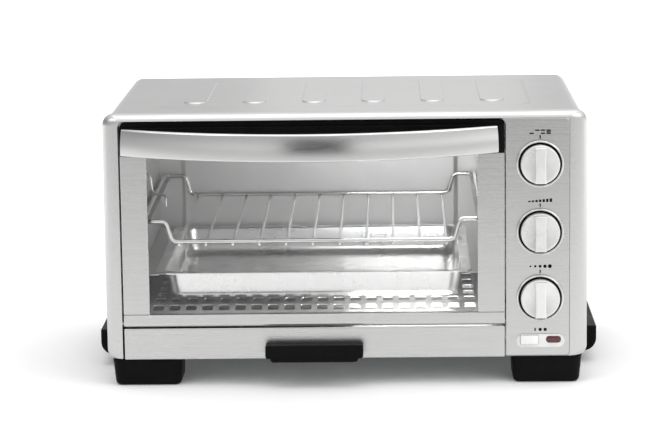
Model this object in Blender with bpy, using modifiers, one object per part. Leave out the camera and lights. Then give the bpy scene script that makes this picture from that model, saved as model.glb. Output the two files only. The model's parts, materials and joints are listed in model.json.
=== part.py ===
"""A countertop toaster oven, modelled piece by piece in metres.

+Z is up and the front faces -Y. The origin is on the surface that the feet stand on, in the
middle of the oven's width and depth. "depth" below is the distance behind the flat front faces.
"""

import math

import bmesh
import bpy
from mathutils import Matrix, Vector

# Overall size
WIDTH = 0.406  # across the side handles
DEPTH = 0.300  # from the bow of the door handle to the rear spacers
HEIGHT = 0.218  # from the feet to the pads pressed in the top

# Body
HANDLE_BOW = 0.046  # how far the door handle stands out
BODY_DEPTH = 0.246
FRONT = HANDLE_BOW - DEPTH / 2  # y of the flat front faces
BODY_BOTTOM = 0.0213
BODY_TOP = 0.2170
BODY_HALF = 0.1885
EDGE_RADIUS = 0.0100
SHEET = 0.0008  # gauge of the folded sheet metal
GAP = 0.0003  # between pieces that touch

# Front bezel
BEZEL_HALF = 0.1902
BEZEL_TOP = 0.2178
BEZEL_DEPTH = 0.0090
BEZEL_WALL = 0.0010
OPENING_LEFT = -0.1773
OPENING_RIGHT = 0.1262
OPENING_TOP = 0.2120
OPENING_CORNER = 0.0055

# Door
DOOR_LEFT = -0.1760
DOOR_RIGHT = 0.1252
DOOR_BOTTOM = 0.0473
DOOR_TOP = 0.2108
RAIL_TOP = 0.0576  # top of the bottom rail
TOP_RAIL_BOTTOM = 0.1847
WINDOW_LEFT = -0.1552
WINDOW_RIGHT = 0.1039
DOOR_MIDDLE = (DOOR_LEFT + DOOR_RIGHT) / 2
GLASS_FRONT = 0.0016  # depth of the glass's front face
GLASS_THICK = 0.0040
PIVOT_RADIUS = 0.0032
PIVOT = (PIVOT_RADIUS, DOOR_BOTTOM + PIVOT_RADIUS)  # depth and height of the hinge axis
PIN_RADIUS = 0.0014

# Cavity
CAVITY_LEFT = -0.1650
CAVITY_RIGHT = 0.1130
CAVITY_FRONT = 0.0100
CAVITY_BACK = 0.2360
CAVITY_TOP = 0.1970
FLOOR_TOP = 0.0600
FLOOR_FRONT = 0.0090
WALL_BOTTOM = 0.0480
MIDDLE = (CAVITY_LEFT + CAVITY_RIGHT) / 2

# Rack and pan
RACK_HALF = 0.1343  # to the middle of the side bars
RACK_CORNER = 0.0050
RACK_FRONT = 0.0160
RACK_BACK = 0.2310
RACK_LOW = 0.1136  # height of the front rail
RACK_LIFT = 0.0164  # how far the ends of the rails are cranked up
RACK_RISE = 0.0030  # how much higher the rear rail is
RAIL_WIRE = 0.0018
CROSS_WIRE = 0.0012
CROSS_COUNT = 11
CROSS_PITCH = 0.0212
PAN_HALF = 0.1259
PAN_FRONT = 0.0100
PAN_BACK = 0.2280
PAN_RIM = 0.0891
PAN_BOTTOM = 0.0662

# Crumb tray
TRAY_TOP = 0.0466
TRAY_LEFT = -0.1680
TRAY_RIGHT = 0.1115
TRAY_BACK = 0.2250

# Controls
KNOB_X = 0.1529
KNOBS = {"function": 0.1757, "temperature": 0.1218, "shade": 0.0690}
KNOB_RADIUS = 0.0156
BUTTON = (0.1373, 0.1514, 0.0319, 0.0391)  # left, right, bottom, top
LENS = (0.1577, 0.1690, 0.0332, 0.0382)
TRIM = (0.1341, 0.1722, 0.0295, 0.0400)

# Feet and side handles
FOOT_WIDTH = 0.0556
FOOT_LENGTH = 0.0420
FOOT_OUTER = 0.1863
FOOT_TOP = BODY_BOTTOM - GAP
FOOT_DEPTHS = {"front": 0.0040, "rear": 0.1980}

FINISHES = {  # colour, roughness, metallic
    "brushed_steel": ((0.72, 0.72, 0.71), 0.34, 1.0),
    "bright_steel": ((0.80, 0.80, 0.79), 0.18, 1.0),
    "cavity_steel": ((0.62, 0.62, 0.61), 0.30, 1.0),
    "chrome": ((0.86, 0.86, 0.86), 0.10, 1.0),
    "black_plastic": ((0.020, 0.020, 0.021), 0.48, 0.0),
    "silver_plastic": ((0.66, 0.66, 0.66), 0.30, 0.6),
    "white_plastic": ((0.86, 0.86, 0.85), 0.35, 0.0),
    "glass": ((0.92, 0.94, 0.94), 0.03, 0.0),
    "red_lens": ((0.30, 0.02, 0.03), 0.12, 0.0),
    "ceramic": ((0.86, 0.84, 0.78), 0.60, 0.0),
    "element": ((0.34, 0.33, 0.32), 0.45, 1.0),
    "zinc": ((0.55, 0.56, 0.57), 0.42, 1.0),
    "spring_steel": ((0.42, 0.42, 0.43), 0.35, 1.0),
}

for old in list(bpy.data.objects):
    bpy.data.objects.remove(old)

parts = bpy.data.collections.new("toaster_oven")
cutters = bpy.data.collections.new("cutters")
for group in (parts, cutters):
    bpy.context.scene.collection.children.link(group)


# ---------------------------------------------------------------- helpers


def at(x, depth, z):
    """A point given by its depth behind the front faces."""
    return Vector((x, FRONT + depth, z))


def finish(obj, kind):
    """Gives the object a material of its own and puts it with the parts."""
    colour, roughness, metallic = FINISHES[kind]
    material = bpy.data.materials.new(obj.name + "_" + kind)
    material.use_nodes = True
    shader = material.node_tree.nodes["Principled BSDF"]
    shader.inputs["Base Color"].default_value = (*colour, 1.0)
    shader.inputs["Roughness"].default_value = roughness
    shader.inputs["Metallic"].default_value = metallic
    if kind == "glass":
        shader.inputs["Transmission Weight"].default_value = 1.0
    obj.data.materials.clear()
    obj.data.materials.append(material)
    parts.objects.link(obj)
    return obj


def as_tool(obj):
    """Marks the object as a cutter or as a body that is joined to a part."""
    obj.hide_render = True
    obj.display_type = "WIRE"
    cutters.objects.link(obj)
    return obj


def from_bmesh(name, mesh, location=(0, 0, 0)):
    """An object that holds a finished bmesh."""
    data = bpy.data.meshes.new(name)
    mesh.to_mesh(data)
    mesh.free()
    obj = bpy.data.objects.new(name, data)
    obj.location = location
    return obj


def box(name, low, high):
    """A block between two corners."""
    low, high = Vector(low), Vector(high)
    size = high - low
    mesh = bmesh.new()
    bmesh.ops.create_cube(mesh, size=1, matrix=Matrix.Diagonal((*size, 1)))
    return from_bmesh(name, mesh, (low + high) / 2)


def rod(name, start, end, radius, sides=16):
    """A round bar from one point to another."""
    start, end = Vector(start), Vector(end)
    along = end - start
    mesh = bmesh.new()
    bmesh.ops.create_cone(mesh, cap_ends=True, segments=sides, radius1=radius,
                          radius2=radius, depth=along.length)
    obj = from_bmesh(name, mesh, (start + end) / 2)
    obj.rotation_mode = "QUATERNION"
    obj.rotation_quaternion = along.to_track_quat("Z", "Y")
    return obj


def curve_mesh(name, curve, matrix=None, weld=1e-6):
    """Turns a curve's evaluated shape into a welded mesh object."""
    source = bpy.data.objects.new(name, curve)
    source.matrix_world = matrix or Matrix.Identity(4)
    bpy.context.scene.collection.objects.link(source)
    bpy.context.view_layer.update()
    evaluated = source.evaluated_get(bpy.context.evaluated_depsgraph_get())
    data = bpy.data.meshes.new_from_object(evaluated)
    mesh = bmesh.new()
    mesh.from_mesh(data)
    bmesh.ops.remove_doubles(mesh, verts=mesh.verts, dist=weld)
    bmesh.ops.recalc_face_normals(mesh, faces=mesh.faces)
    mesh.to_mesh(data)
    mesh.free()
    obj = bpy.data.objects.new(name, data)
    obj.matrix_world = source.matrix_world
    bpy.data.objects.remove(source)
    obj.name = name
    return obj


def spline(curve, points, closed):
    """Adds a run of straight stretches to a curve."""
    line = curve.splines.new("POLY")
    line.points.add(len(points) - 1)
    for place, point in zip(line.points, points):
        place.co = (*point, *([0.0] * (3 - len(point))), 1.0)
    line.use_cyclic_u = closed


PLANES = {  # local x and y of a flat outline, and the way its thickness runs
    "XZ": Matrix(((1, 0, 0, 0), (0, 0, -1, 0), (0, 1, 0, 0), (0, 0, 0, 1))),
    "XY": Matrix.Identity(4),
    "YZ": Matrix(((0, 0, 1, 0), (1, 0, 0, 0), (0, 1, 0, 0), (0, 0, 0, 1))),
}


def plate(name, outlines, plane, low, high):
    """A flat piece between two levels: the first outline is its edge, the others its holes."""
    curve = bpy.data.curves.new(name, "CURVE")
    curve.dimensions = "2D"
    curve.fill_mode = "BOTH"
    curve.extrude = (high - low) / 2
    for outline in outlines:
        spline(curve, outline, True)
    matrix = PLANES[plane].copy()
    normal = {"XZ": Vector((0, 1, 0)), "XY": Vector((0, 0, 1)), "YZ": Vector((1, 0, 0))}[plane]
    matrix.translation = normal * (low + high) / 2
    return curve_mesh(name, curve, matrix)


def wire(name, points, radius, closed=False, resolution=2):
    """A round wire or tube along a list of points."""
    curve = bpy.data.curves.new(name, "CURVE")
    curve.dimensions = "3D"
    curve.bevel_depth = radius
    curve.bevel_resolution = resolution
    curve.use_fill_caps = not closed
    spline(curve, points, closed)
    return curve_mesh(name, curve)


def loft(name, rings):
    """A closed solid through rings of equally many points, capped at both ends."""
    mesh = bmesh.new()
    rows = [[mesh.verts.new(point) for point in ring] for ring in rings]
    count = len(rows[0])
    for lower, upper in zip(rows, rows[1:]):
        for i in range(count):
            j = (i + 1) % count
            mesh.faces.new((lower[i], lower[j], upper[j], upper[i]))
    mesh.faces.new(rows[0][::-1])
    mesh.faces.new(rows[-1])
    bmesh.ops.recalc_face_normals(mesh, faces=mesh.faces)
    return from_bmesh(name, mesh)


def turned(name, profile, location, sides=24):
    """A lathe-turned piece: its profile is (radius, height) and its axis points to the front."""
    data = bpy.data.meshes.new(name)
    closed = profile[0][0] > 0
    count = len(profile)
    edges = [(i, (i + 1) % count) for i in range(count if closed else count - 1)]
    data.from_pydata([(radius, 0, height) for radius, height in profile], edges, [])
    obj = bpy.data.objects.new(name, data)
    obj.location = location
    obj.rotation_euler = (math.pi / 2, 0, 0)
    screw = obj.modifiers.new("turn", "SCREW")
    screw.steps = screw.render_steps = sides
    screw.use_merge_vertices = True
    screw.merge_threshold = 0.00001
    return obj


def cut(obj, *tools):
    """Cuts the tools' shapes out of the object."""
    for tool in tools:
        boolean = obj.modifiers.new("cut_" + tool.name, "BOOLEAN")
        boolean.operation = "DIFFERENCE"
        boolean.object = as_tool(tool)
    return obj


def unite(obj, *tools):
    """Joins the tools' shapes to the object as one solid."""
    for tool in tools:
        boolean = obj.modifiers.new("join_" + tool.name, "BOOLEAN")
        boolean.operation = "UNION"
        boolean.object = as_tool(tool)
    return obj


def soften(obj, width, segments=1, angle=40):
    """Breaks the sharp edges."""
    bevel = obj.modifiers.new("edges", "BEVEL")
    bevel.width = width
    bevel.segments = segments
    bevel.limit_method = "ANGLE"
    bevel.angle_limit = math.radians(angle)
    return obj


def arc(centre, radius, start, end, steps):
    """Points along an arc, in degrees, ends included."""
    turns = [math.radians(start + (end - start) * i / steps) for i in range(steps + 1)]
    return [(centre[0] + radius * math.cos(t), centre[1] + radius * math.sin(t)) for t in turns]


def rounded(left, right, bottom, top, radii, steps=4):
    """A rectangle with round corners: one radius, or bottom left, bottom right, top right, top left."""
    radii = radii if isinstance(radii, tuple) else (radii,) * 4
    corners = ((left, bottom, 1, 1, 180), (right, bottom, -1, 1, 270),
               (right, top, -1, -1, 0), (left, top, 1, -1, 90))
    points = []
    for (x, z, inward, upward, start), radius in zip(corners, radii):
        centre = (x + inward * radius, z + upward * radius)
        points += arc(centre, radius, start, start + 90, steps)
    return points


def smooth(obj, angle=35):
    """Shades a round piece smooth."""
    obj.data.shade_smooth()
    obj.data.set_sharp_from_angle(angle=math.radians(angle))
    return obj


def carry(axis, *pieces):
    """Hangs moving pieces on an empty that lies on their joint's axis."""
    bpy.context.view_layer.update()
    for piece in pieces:
        piece.parent = axis
        piece.matrix_parent_inverse = axis.matrix_world.inverted()


def empty(name, location):
    """A marker on a joint's axis."""
    marker = bpy.data.objects.new(name, None)
    marker.location = location
    parts.objects.link(marker)
    return marker


# ---------------------------------------------------------------- casing


def outer_wrapper():
    """One folded sheet over both sides and the top, with pads pressed in the top."""
    outer = EDGE_RADIUS
    centre_x, centre_z = BODY_HALF - outer, BODY_TOP - outer
    outline = [(BODY_HALF, BODY_BOTTOM + GAP)] + arc((centre_x, centre_z), outer, 0, 90, 5)
    outline += arc((-centre_x, centre_z), outer, 90, 180, 5) + [(-BODY_HALF, BODY_BOTTOM + GAP)]
    inner = outer - SHEET
    outline += [(SHEET - BODY_HALF, BODY_BOTTOM + GAP)]
    outline += arc((-centre_x, centre_z), inner, 180, 90, 5) + arc((centre_x, centre_z), inner, 90, 0, 5)
    outline += [(BODY_HALF - SHEET, BODY_BOTTOM + GAP)]
    front, back = FRONT + BEZEL_DEPTH + GAP, FRONT + BODY_DEPTH - SHEET - GAP
    obj = plate("outer_wrapper", [outline], "XZ", front, back)
    pad_half, pad_pitch, pad_middle = 0.0098, 0.0479, -0.0015
    for i in range(6):
        x = pad_middle + (i - 2.5) * pad_pitch
        low, high = FRONT + 0.0700, FRONT + 0.2090
        shape = rounded(x - pad_half, x + pad_half, low, high, pad_half - 0.0001, 4)
        unite(obj, plate(f"pad_{i}", [shape], "XY", BODY_TOP - SHEET / 2, HEIGHT))
    for side in (-1, 1):
        for i in range(5):
            z = 0.1350 + i * 0.0090
            inner_x, outer_x = sorted((side * (BODY_HALF - 0.004), side * (BODY_HALF + 0.004)))
            slot = box(f"louvre_{side}_{i}", at(inner_x, 0.120, z), at(outer_x, 0.190, z + 0.003))
            cut(obj, slot)
    return finish(obj, "brushed_steel")


def bezel_rings(inset, start, steps=4):
    """Outlines of the bezel from its flat face back round its bullnose edges."""
    rings = []
    for i in range(steps + 1):
        turn = math.radians(90 * i / steps)
        share, depth = 1 - math.sin(turn), start + (BEZEL_DEPTH - start) * (1 - math.cos(turn))
        half = BEZEL_HALF - inset - 0.0139 * share
        top = BEZEL_TOP - inset - 0.0058 * share
        bottom = BODY_BOTTOM + inset + 0.0010 * share
        radii = (0.0075 - 0.0045 * share,) * 2 + (0.0100 - 0.0070 * share,) * 2
        rings.append([at(x, depth, z) for x, z in rounded(-half, half, bottom, top, radii)])
    return rings


def door_opening(name, grow, low, high):
    """The doorway through the bezel, open at the bottom."""
    radius = OPENING_CORNER + grow
    shape = rounded(OPENING_LEFT - grow, OPENING_RIGHT + grow, 0.0, OPENING_TOP + grow,
                    (0.001, 0.001, radius, radius))
    return plate(name, [shape], "XZ", FRONT + low, FRONT + high)


def front_bezel():
    """The pressed front frame: left strip, top strip and control panel in one."""
    obj = loft("front_bezel", bezel_rings(0, 0))
    hollow_rings = bezel_rings(BEZEL_WALL, BEZEL_WALL)
    hollow_rings.append([point + Vector((0, 0.004, 0)) for point in hollow_rings[-1]])
    hollow = loft("bezel_hollow", hollow_rings)
    cut(hollow, door_opening("doorway_lip", BEZEL_WALL, -0.002, 0.020))
    cut(obj, hollow, door_opening("doorway", 0, -0.004, 0.024))
    for name, z in KNOBS.items():
        cut(obj, rod(f"shaft_hole_{name}", at(KNOB_X, -0.002, z), at(KNOB_X, 0.004, z), 0.0045))
    for name, (left, right, bottom, top) in (("button", BUTTON), ("lens", LENS)):
        edge = 0.0004
        cut(obj, box(f"{name}_hole", at(left - edge, -0.002, bottom - edge),
                     at(right + edge, 0.004, top + edge)))
    for side in (OPENING_LEFT, OPENING_RIGHT):
        cut(obj, rod(f"pin_hole_{side > 0}", at(side - 0.004, *PIVOT), at(side + 0.004, *PIVOT),
                     PIN_RADIUS + 0.0004))
    return finish(obj, "brushed_steel")


def base_plate():
    """The bottom sheet, with a vent field under the cavity."""
    outer = rounded(-BODY_HALF + 0.0012, BODY_HALF - 0.0012, FRONT + 0.0095, FRONT + 0.2448, 0.003, 1)
    holes = []
    for i in range(8):
        x = -0.125 + i * 0.0285
        holes.append(rounded(x - 0.008, x + 0.008, FRONT + 0.1800, FRONT + 0.1840, 0.0015, 1))
    obj = plate("base_plate", [outer, *holes], "XY", BODY_BOTTOM, BODY_BOTTOM + SHEET)
    return finish(obj, "zinc")


def rear_cover():
    """The back sheet with its vents and the hole for the lead's gland."""
    half = BODY_HALF - 0.0004
    outer = rounded(-half, half, BODY_BOTTOM + GAP, BODY_TOP - 0.0004, (0.001, 0.001, 0.0096, 0.0096))
    holes = []
    for column in range(2):
        for row in range(7):
            x, z = (-0.100, 0.100)[column], 0.088 + row * 0.012
            holes.append(rounded(x - 0.035, x + 0.035, z, z + 0.004, 0.0018, 1))
    holes.append(rounded(GLAND[0] - 0.0070, GLAND[0] + 0.0070, GLAND[1] - 0.0070,
                         GLAND[1] + 0.0070, 0.0069, 4))
    back = FRONT + BODY_DEPTH
    return finish(plate("rear_cover", [outer, *holes], "XZ", back - SHEET, back), "brushed_steel")


def feet():
    """Four moulded feet, narrower at the bottom."""
    for side, side_name in ((-1, "left"), (1, "right")):
        for end, depth in FOOT_DEPTHS.items():
            inner = FOOT_OUTER - FOOT_WIDTH
            rings = []
            for z, draw in ((0, 0.0068), (0.0016, 0.0033), (0.0050, 0.0016), (FOOT_TOP, 0)):
                left, right = sorted((side * (inner + draw * 0.6), side * (FOOT_OUTER - draw)))
                shape = rounded(left, right, depth + draw * 0.5, depth + FOOT_LENGTH - draw * 0.5, 0.006, 3)
                rings.append([at(x, y, z) for x, y in shape])
            finish(smooth(loft(f"foot_{end}_{side_name}", rings)), "black_plastic")


def side_handles():
    """Moulded grips low on both sides."""
    for side, name in ((-1, "left"), (1, "right")):
        root, outer = BODY_HALF + GAP, WIDTH / 2
        section = [(root, 0.0300), (outer - 0.0012, 0.0296), (outer, 0.0284), (outer, 0.0212),
                   (outer - 0.0014, 0.0160), (outer - 0.0040, 0.0124), (outer - 0.0080, 0.0097),
                   (root, 0.0088)]
        outline = [(side * x, z) for x, z in section]
        obj = plate(f"side_handle_{name}", [outline], "XZ", FRONT + 0.0760, FRONT + 0.2020)
        finish(soften(obj, 0.0010), "black_plastic")


def rear_spacers():
    """Two bumpers that keep the oven off a wall."""
    back = FRONT + BODY_DEPTH
    for side, name in ((-1, "left"), (1, "right")):
        x = side * 0.150
        shape = rounded(x - 0.014, x + 0.014, 0.150, 0.172, 0.005, 3)
        obj = plate(f"rear_spacer_{name}", [shape], "XZ", back + GAP, DEPTH / 2)
        finish(soften(obj, 0.0012), "black_plastic")


# ---------------------------------------------------------------- cavity


ELEMENT_RADIUS = 0.0032
ELEMENTS = {"upper": (0.1880, 0.0700, 0.1800), "lower": (0.0525, 0.0600, 0.1700)}  # z, legs' depths
GLAND = (0.1500, 0.0460)  # x and z


def cavity():
    """The liner: two sides, a ceiling, a back and a slotted floor, each its own sheet."""
    sides = (("left", CAVITY_LEFT - SHEET, CAVITY_LEFT), ("right", CAVITY_RIGHT, CAVITY_RIGHT + SHEET))
    for name, low, high in sides:
        outer = rounded(FRONT + CAVITY_FRONT, FRONT + CAVITY_BACK, WALL_BOTTOM, CAVITY_TOP + SHEET,
                        0.001, 1)
        holes = []
        if name == "right":
            for z, *legs in ELEMENTS.values():
                holes += [arc((FRONT + leg, z), 0.0064, 0, 348, 14) for leg in legs]
        finish(plate(f"cavity_{name}_wall", [outer, *holes], "YZ", low, high), "cavity_steel")
    inner_left, inner_right = CAVITY_LEFT + GAP, CAVITY_RIGHT - GAP
    finish(box("cavity_top", at(inner_left, CAVITY_FRONT, CAVITY_TOP),
               at(inner_right, CAVITY_BACK - 0.0030, CAVITY_TOP + SHEET)), "cavity_steel")
    finish(cavity_back(), "cavity_steel")
    finish(perforated_floor(), "cavity_steel")


def cavity_back():
    """The back sheet, its middle pressed forward between two upright creases."""
    back, press, crease = FRONT + CAVITY_BACK + GAP, 0.0025, 0.0020
    left, right = MIDDLE - 0.1185, MIDDLE + 0.1185
    line = [(CAVITY_LEFT - SHEET, back), (left - crease, back), (left + crease, back - press),
            (right - crease, back - press), (right + crease, back), (CAVITY_RIGHT + SHEET, back)]
    outline = line + [(x, y + SHEET) for x, y in reversed(line)]
    return plate("cavity_back", [outline], "XY", WALL_BOTTOM, CAVITY_TOP + SHEET)


def perforated_floor():
    """The heat shield over the lower element, slotted at the front where crumbs fall through."""
    left, right = CAVITY_LEFT + GAP, CAVITY_RIGHT - GAP
    back = CAVITY_BACK - 0.004
    outer = rounded(left, right, FRONT + FLOOR_FRONT, FRONT + back, 0.001, 1)
    pitch, half_width, length, row_pitch = 0.0131, 0.0043, 0.0160, 0.0240
    first = MIDDLE - pitch * 9.5
    slots = []
    for row in range(2):
        low = FRONT + FLOOR_FRONT + 0.0030 + row * row_pitch
        for column in range(20):
            x = first + column * pitch
            slots.append(rounded(x - half_width, x + half_width, low, low + length, 0.0020, 1))
    obj = plate("perforated_floor", [outer, *slots], "XY", FLOOR_TOP - SHEET, FLOOR_TOP)
    lip = box("floor_lip", at(left, FLOOR_FRONT, FLOOR_TOP - 0.0036),
              at(right, FLOOR_FRONT + SHEET, FLOOR_TOP - SHEET / 2))
    return unite(obj, lip)


def guides():
    """Angle ledges that carry the rack and the pan."""
    for side, name, wall in ((-1, "left", CAVITY_LEFT + GAP), (1, "right", CAVITY_RIGHT - GAP)):
        toward = -side  # from the wall into the cavity
        length = (0.0130, 0.2300)
        for kind, ledge, width in (("rack", RACK_LOW + RACK_LIFT - RAIL_WIRE - 0.0004, 0.0085),
                                   ("pan", PAN_RIM - 0.0012, 0.0165)):
            rise = RACK_RISE if kind == "rack" else 0.0
            rings = []
            for depth, lift in ((length[0], 0), (length[1], rise)):
                top = ledge + lift
                section = [(0, top), (width, top), (width, top - SHEET), (SHEET, top - SHEET),
                           (SHEET, top - 0.0080), (0, top - 0.0080)]
                rings.append([at(wall + toward * x, depth, z) for x, z in section])
            finish(loft(f"{kind}_guide_{name}", rings), "cavity_steel")


def elements():
    """Two hairpin tubular heaters whose legs pass through ceramic bushes in the right wall."""
    for name, (z, near, far) in ELEMENTS.items():
        end_x, turn_x, bend = CAVITY_RIGHT + 0.016, CAVITY_LEFT + 0.022, 0.016
        points = [(end_x, near), *arc((turn_x + bend, near + bend), bend, 270, 180, 5),
                  *arc((turn_x + bend, far - bend), bend, 180, 90, 5), (end_x, far)]
        tube = wire(f"{name}_element", [at(x, y, z) for x, y in points], ELEMENT_RADIUS)
        finish(smooth(tube), "element")
        for leg_name, leg in (("front", near), ("rear", far)):
            bush = rod(f"{name}_{leg_name}_insulator", at(CAVITY_RIGHT - 0.003, leg, z),
                       at(CAVITY_RIGHT + 0.008, leg, z), 0.0060)
            bore = rod(f"bore_{name}_{leg_name}", at(CAVITY_RIGHT - 0.010, leg, z),
                       at(CAVITY_RIGHT + 0.020, leg, z), ELEMENT_RADIUS + GAP)
            finish(cut(bush, bore), "ceramic")


def rack_hook():
    """The bent wire keeper on the left wall, over the end of the rack."""
    route = ((0.0000, 0.030, 0.1665), (0.0060, 0.030, 0.1665), (0.0085, 0.030, 0.1630),
             (0.0095, 0.032, 0.1530), (0.0110, 0.036, 0.1490), (0.0180, 0.050, 0.1455),
             (0.0190, 0.052, 0.1430), (0.0185, 0.052, 0.1360))
    points = [at(CAVITY_LEFT + GAP + reach + 0.0012, depth, z) for reach, depth, z in route]
    finish(smooth(wire("rack_hook_left", points, 0.0010, resolution=1)), "chrome")


# ---------------------------------------------------------------- rack, pan and crumb tray


def rack_rail(depth, rise):
    """Half of a cranked rail, from the middle of the rack to its corner."""
    low = RACK_LOW + rise
    high = low + RACK_LIFT
    shape = [(0.0, low), (0.1060, low), (0.1095, low + 0.0008), (0.1120, low + 0.0032),
             (0.1150, high - 0.0036), (0.1175, high - 0.0010), (0.1210, high),
             (RACK_HALF - RACK_CORNER, high)]
    return [(x, depth, z) for x, z in shape]


def wire_rack():
    """The rack: a cranked outer frame and straight cross wires welded under its rails."""
    corner, turn_x = RACK_CORNER, RACK_HALF - RACK_CORNER
    front, back = rack_rail(RACK_FRONT, 0), rack_rail(RACK_BACK, RACK_RISE)
    side_low, side_high = RACK_LOW + RACK_LIFT, RACK_LOW + RACK_LIFT + RACK_RISE
    near = [(x, y, side_low) for x, y in arc((turn_x, RACK_FRONT + corner), corner, 300, 360, 2)]
    far = [(x, y, side_high) for x, y in arc((turn_x, RACK_BACK - corner), corner, 0, 60, 2)]
    half = front + near + far + back[::-1]
    mirrored = [(-x, y, z) for x, y, z in reversed(half[1:-1])]
    loop = [at(MIDDLE + x, y, z) for x, y, z in half + mirrored]
    obj = wire("wire_rack", loop, RAIL_WIRE, closed=True)
    drop = RAIL_WIRE + CROSS_WIRE - 0.0006
    for i in range(CROSS_COUNT):
        x = MIDDLE + (i - (CROSS_COUNT - 1) / 2) * CROSS_PITCH
        start = at(x, RACK_FRONT - 0.0014, RACK_LOW - drop)
        end = at(x, RACK_BACK + 0.0014, RACK_LOW + RACK_RISE - drop)
        unite(obj, rod(f"cross_wire_{i}", start, end, CROSS_WIRE, 8))
    return finish(obj, "chrome")


def baking_pan():
    """A pressed pan with a flat rim and round lower corners."""
    wall, rim = 0.0008, 0.0068
    profile = [  # inset from the rim's edge, height, corner radius
        (0.0145, PAN_BOTTOM, 0.006), (0.0115, PAN_BOTTOM + 0.0009, 0.0075),
        (0.0099, PAN_BOTTOM + 0.0036, 0.009), (rim + wall, PAN_RIM - wall, 0.0105),
        (0, PAN_RIM - wall, 0.013), (0, PAN_RIM, 0.013), (rim + 2 * wall, PAN_RIM, 0.0100),
        (0.0108, PAN_BOTTOM + 0.0042, 0.0085), (0.0124, PAN_BOTTOM + 0.0018, 0.007),
        (0.0151, PAN_BOTTOM + wall, 0.0055)]
    rings = []
    for inset, z, radius in profile:
        shape = rounded(MIDDLE - PAN_HALF + inset, MIDDLE + PAN_HALF - inset, PAN_FRONT + inset,
                        PAN_BACK - inset, radius, 4)
        rings.append([at(x, y, z) for x, y in shape])
    return finish(smooth(loft("baking_pan", rings)), "bright_steel")


def crumb_tray():
    """A shallow drawer whose front closes the oven below the door."""
    floor, wall = 0.0245, SHEET
    low, high = at(TRAY_LEFT, 0.0004, floor), at(TRAY_RIGHT, TRAY_BACK, floor + 0.0115)
    obj = box("crumb_tray", low, high)
    cut(obj, box("tray_hollow", low + Vector((wall, wall, wall)), high + Vector((-wall, -wall, 0.01))))
    front = soften(box("tray_front", at(DOOR_LEFT, 0, BODY_BOTTOM + GAP), at(DOOR_RIGHT, 0.0064, TRAY_TOP)),
                   0.0007)
    cut(front, box("tray_front_hollow", at(DOOR_LEFT + 0.001, 0.001, BODY_BOTTOM + 0.0013),
                   at(DOOR_RIGHT - 0.001, 0.0080, TRAY_TOP - 0.001)))
    rear = box("tray_front_web", at(TRAY_LEFT, 0.0005, floor), at(TRAY_RIGHT, 0.0012, floor + 0.0115))
    unite(obj, rear, front)
    return finish(obj, "brushed_steel")


def crumb_tray_handle():
    """The pull on the crumb tray, hollowed underneath for the fingers."""
    half, reach = 0.0386, 0.0140
    upper = soften(box("crumb_tray_handle", at(DOOR_MIDDLE - half, -reach, 0.0240),
                       at(DOOR_MIDDLE + half, -GAP, 0.0350)), 0.0022, 2)
    lower = box("pull_lip", at(DOOR_MIDDLE - half + 0.0035, -reach + 0.0006, 0.0212),
                at(DOOR_MIDDLE + half - 0.0035, -reach + 0.0036, 0.0280))
    hollow = box("pull_hollow", at(DOOR_MIDDLE - half + 0.0055, -reach + 0.0036, 0.0150),
                 at(DOOR_MIDDLE + half - 0.0055, -0.0026, 0.0312))
    return finish(cut(unite(upper, lower), hollow), "black_plastic")


# ---------------------------------------------------------------- door


def door_stiles():
    """Folded uprights: a flat face and an outer return."""
    stiles = (("left", DOOR_LEFT, WINDOW_LEFT, 1), ("right", DOOR_RIGHT, WINDOW_RIGHT, -1))
    made = []
    for name, outer, inner, way in stiles:
        section = [(outer, 0), (inner, 0), (inner, 0.0009), (outer + way * 0.0009, 0.0009),
                   (outer + way * 0.0009, 0.0078), (outer, 0.0078)]
        outline = [(x, FRONT + depth) for x, depth in section]
        obj = plate(f"door_{name}_stile", [outline], "XY", RAIL_TOP + GAP, TOP_RAIL_BOTTOM - GAP)
        made.append(finish(obj, "brushed_steel"))
    return made


def door_bottom_rail():
    """The rail that turns on the hinge pins: its lower edge is round about the hinge axis."""
    depth, height = PIVOT
    section = arc((FRONT + depth, height), PIVOT_RADIUS, 180, 270, 4)
    section += [(FRONT + 0.0070, DOOR_BOTTOM), (FRONT + 0.0078, DOOR_BOTTOM + 0.0010),
                (FRONT + 0.0078, RAIL_TOP), (FRONT, RAIL_TOP)]
    obj = plate("door_bottom_rail", [section], "YZ", DOOR_LEFT, DOOR_RIGHT)
    groove = box("glass_groove_low", at(DOOR_LEFT - 0.001, GLASS_FRONT - GAP, 0.0545),
                 at(DOOR_RIGHT + 0.001, GLASS_FRONT + GLASS_THICK + GAP, 0.070))
    cut(obj, groove)
    for side, inward in ((DOOR_LEFT, 1), (DOOR_RIGHT, -1)):
        cut(obj, rod(f"pin_bore_{side > 0}", at(side - inward * 0.002, *PIVOT),
                     at(side + inward * 0.0102, *PIVOT), PIN_RADIUS + 0.0002, 12))
    return finish(obj, "brushed_steel")


def door_top_rail():
    """The moulded rail behind the handle, stepped back along its upper edge."""
    shape = rounded(DOOR_LEFT, DOOR_RIGHT, TOP_RAIL_BOTTOM, DOOR_TOP, (0.0008, 0.0008, 0.0045, 0.0045))
    obj = plate("door_top_rail", [shape], "XZ", FRONT, FRONT + 0.0088)
    step = box("rail_step", at(DOOR_LEFT + 0.003, -0.001, 0.2068), at(DOOR_RIGHT - 0.003, 0.0014, 0.2200))
    groove = box("glass_groove_high", at(WINDOW_LEFT - 0.012, GLASS_FRONT - GAP, 0.1800),
                 at(WINDOW_RIGHT + 0.012, GLASS_FRONT + GLASS_THICK + GAP, 0.1915))
    return finish(cut(obj, step, groove), "black_plastic")


def door_glass():
    """The toughened pane, held in the grooves of both rails."""
    obj = box("door_glass", at(WINDOW_LEFT - 0.0110, GLASS_FRONT, 0.0548),
              at(WINDOW_RIGHT + 0.0110, GLASS_FRONT + GLASS_THICK, 0.1912))
    return finish(obj, "glass")


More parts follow.
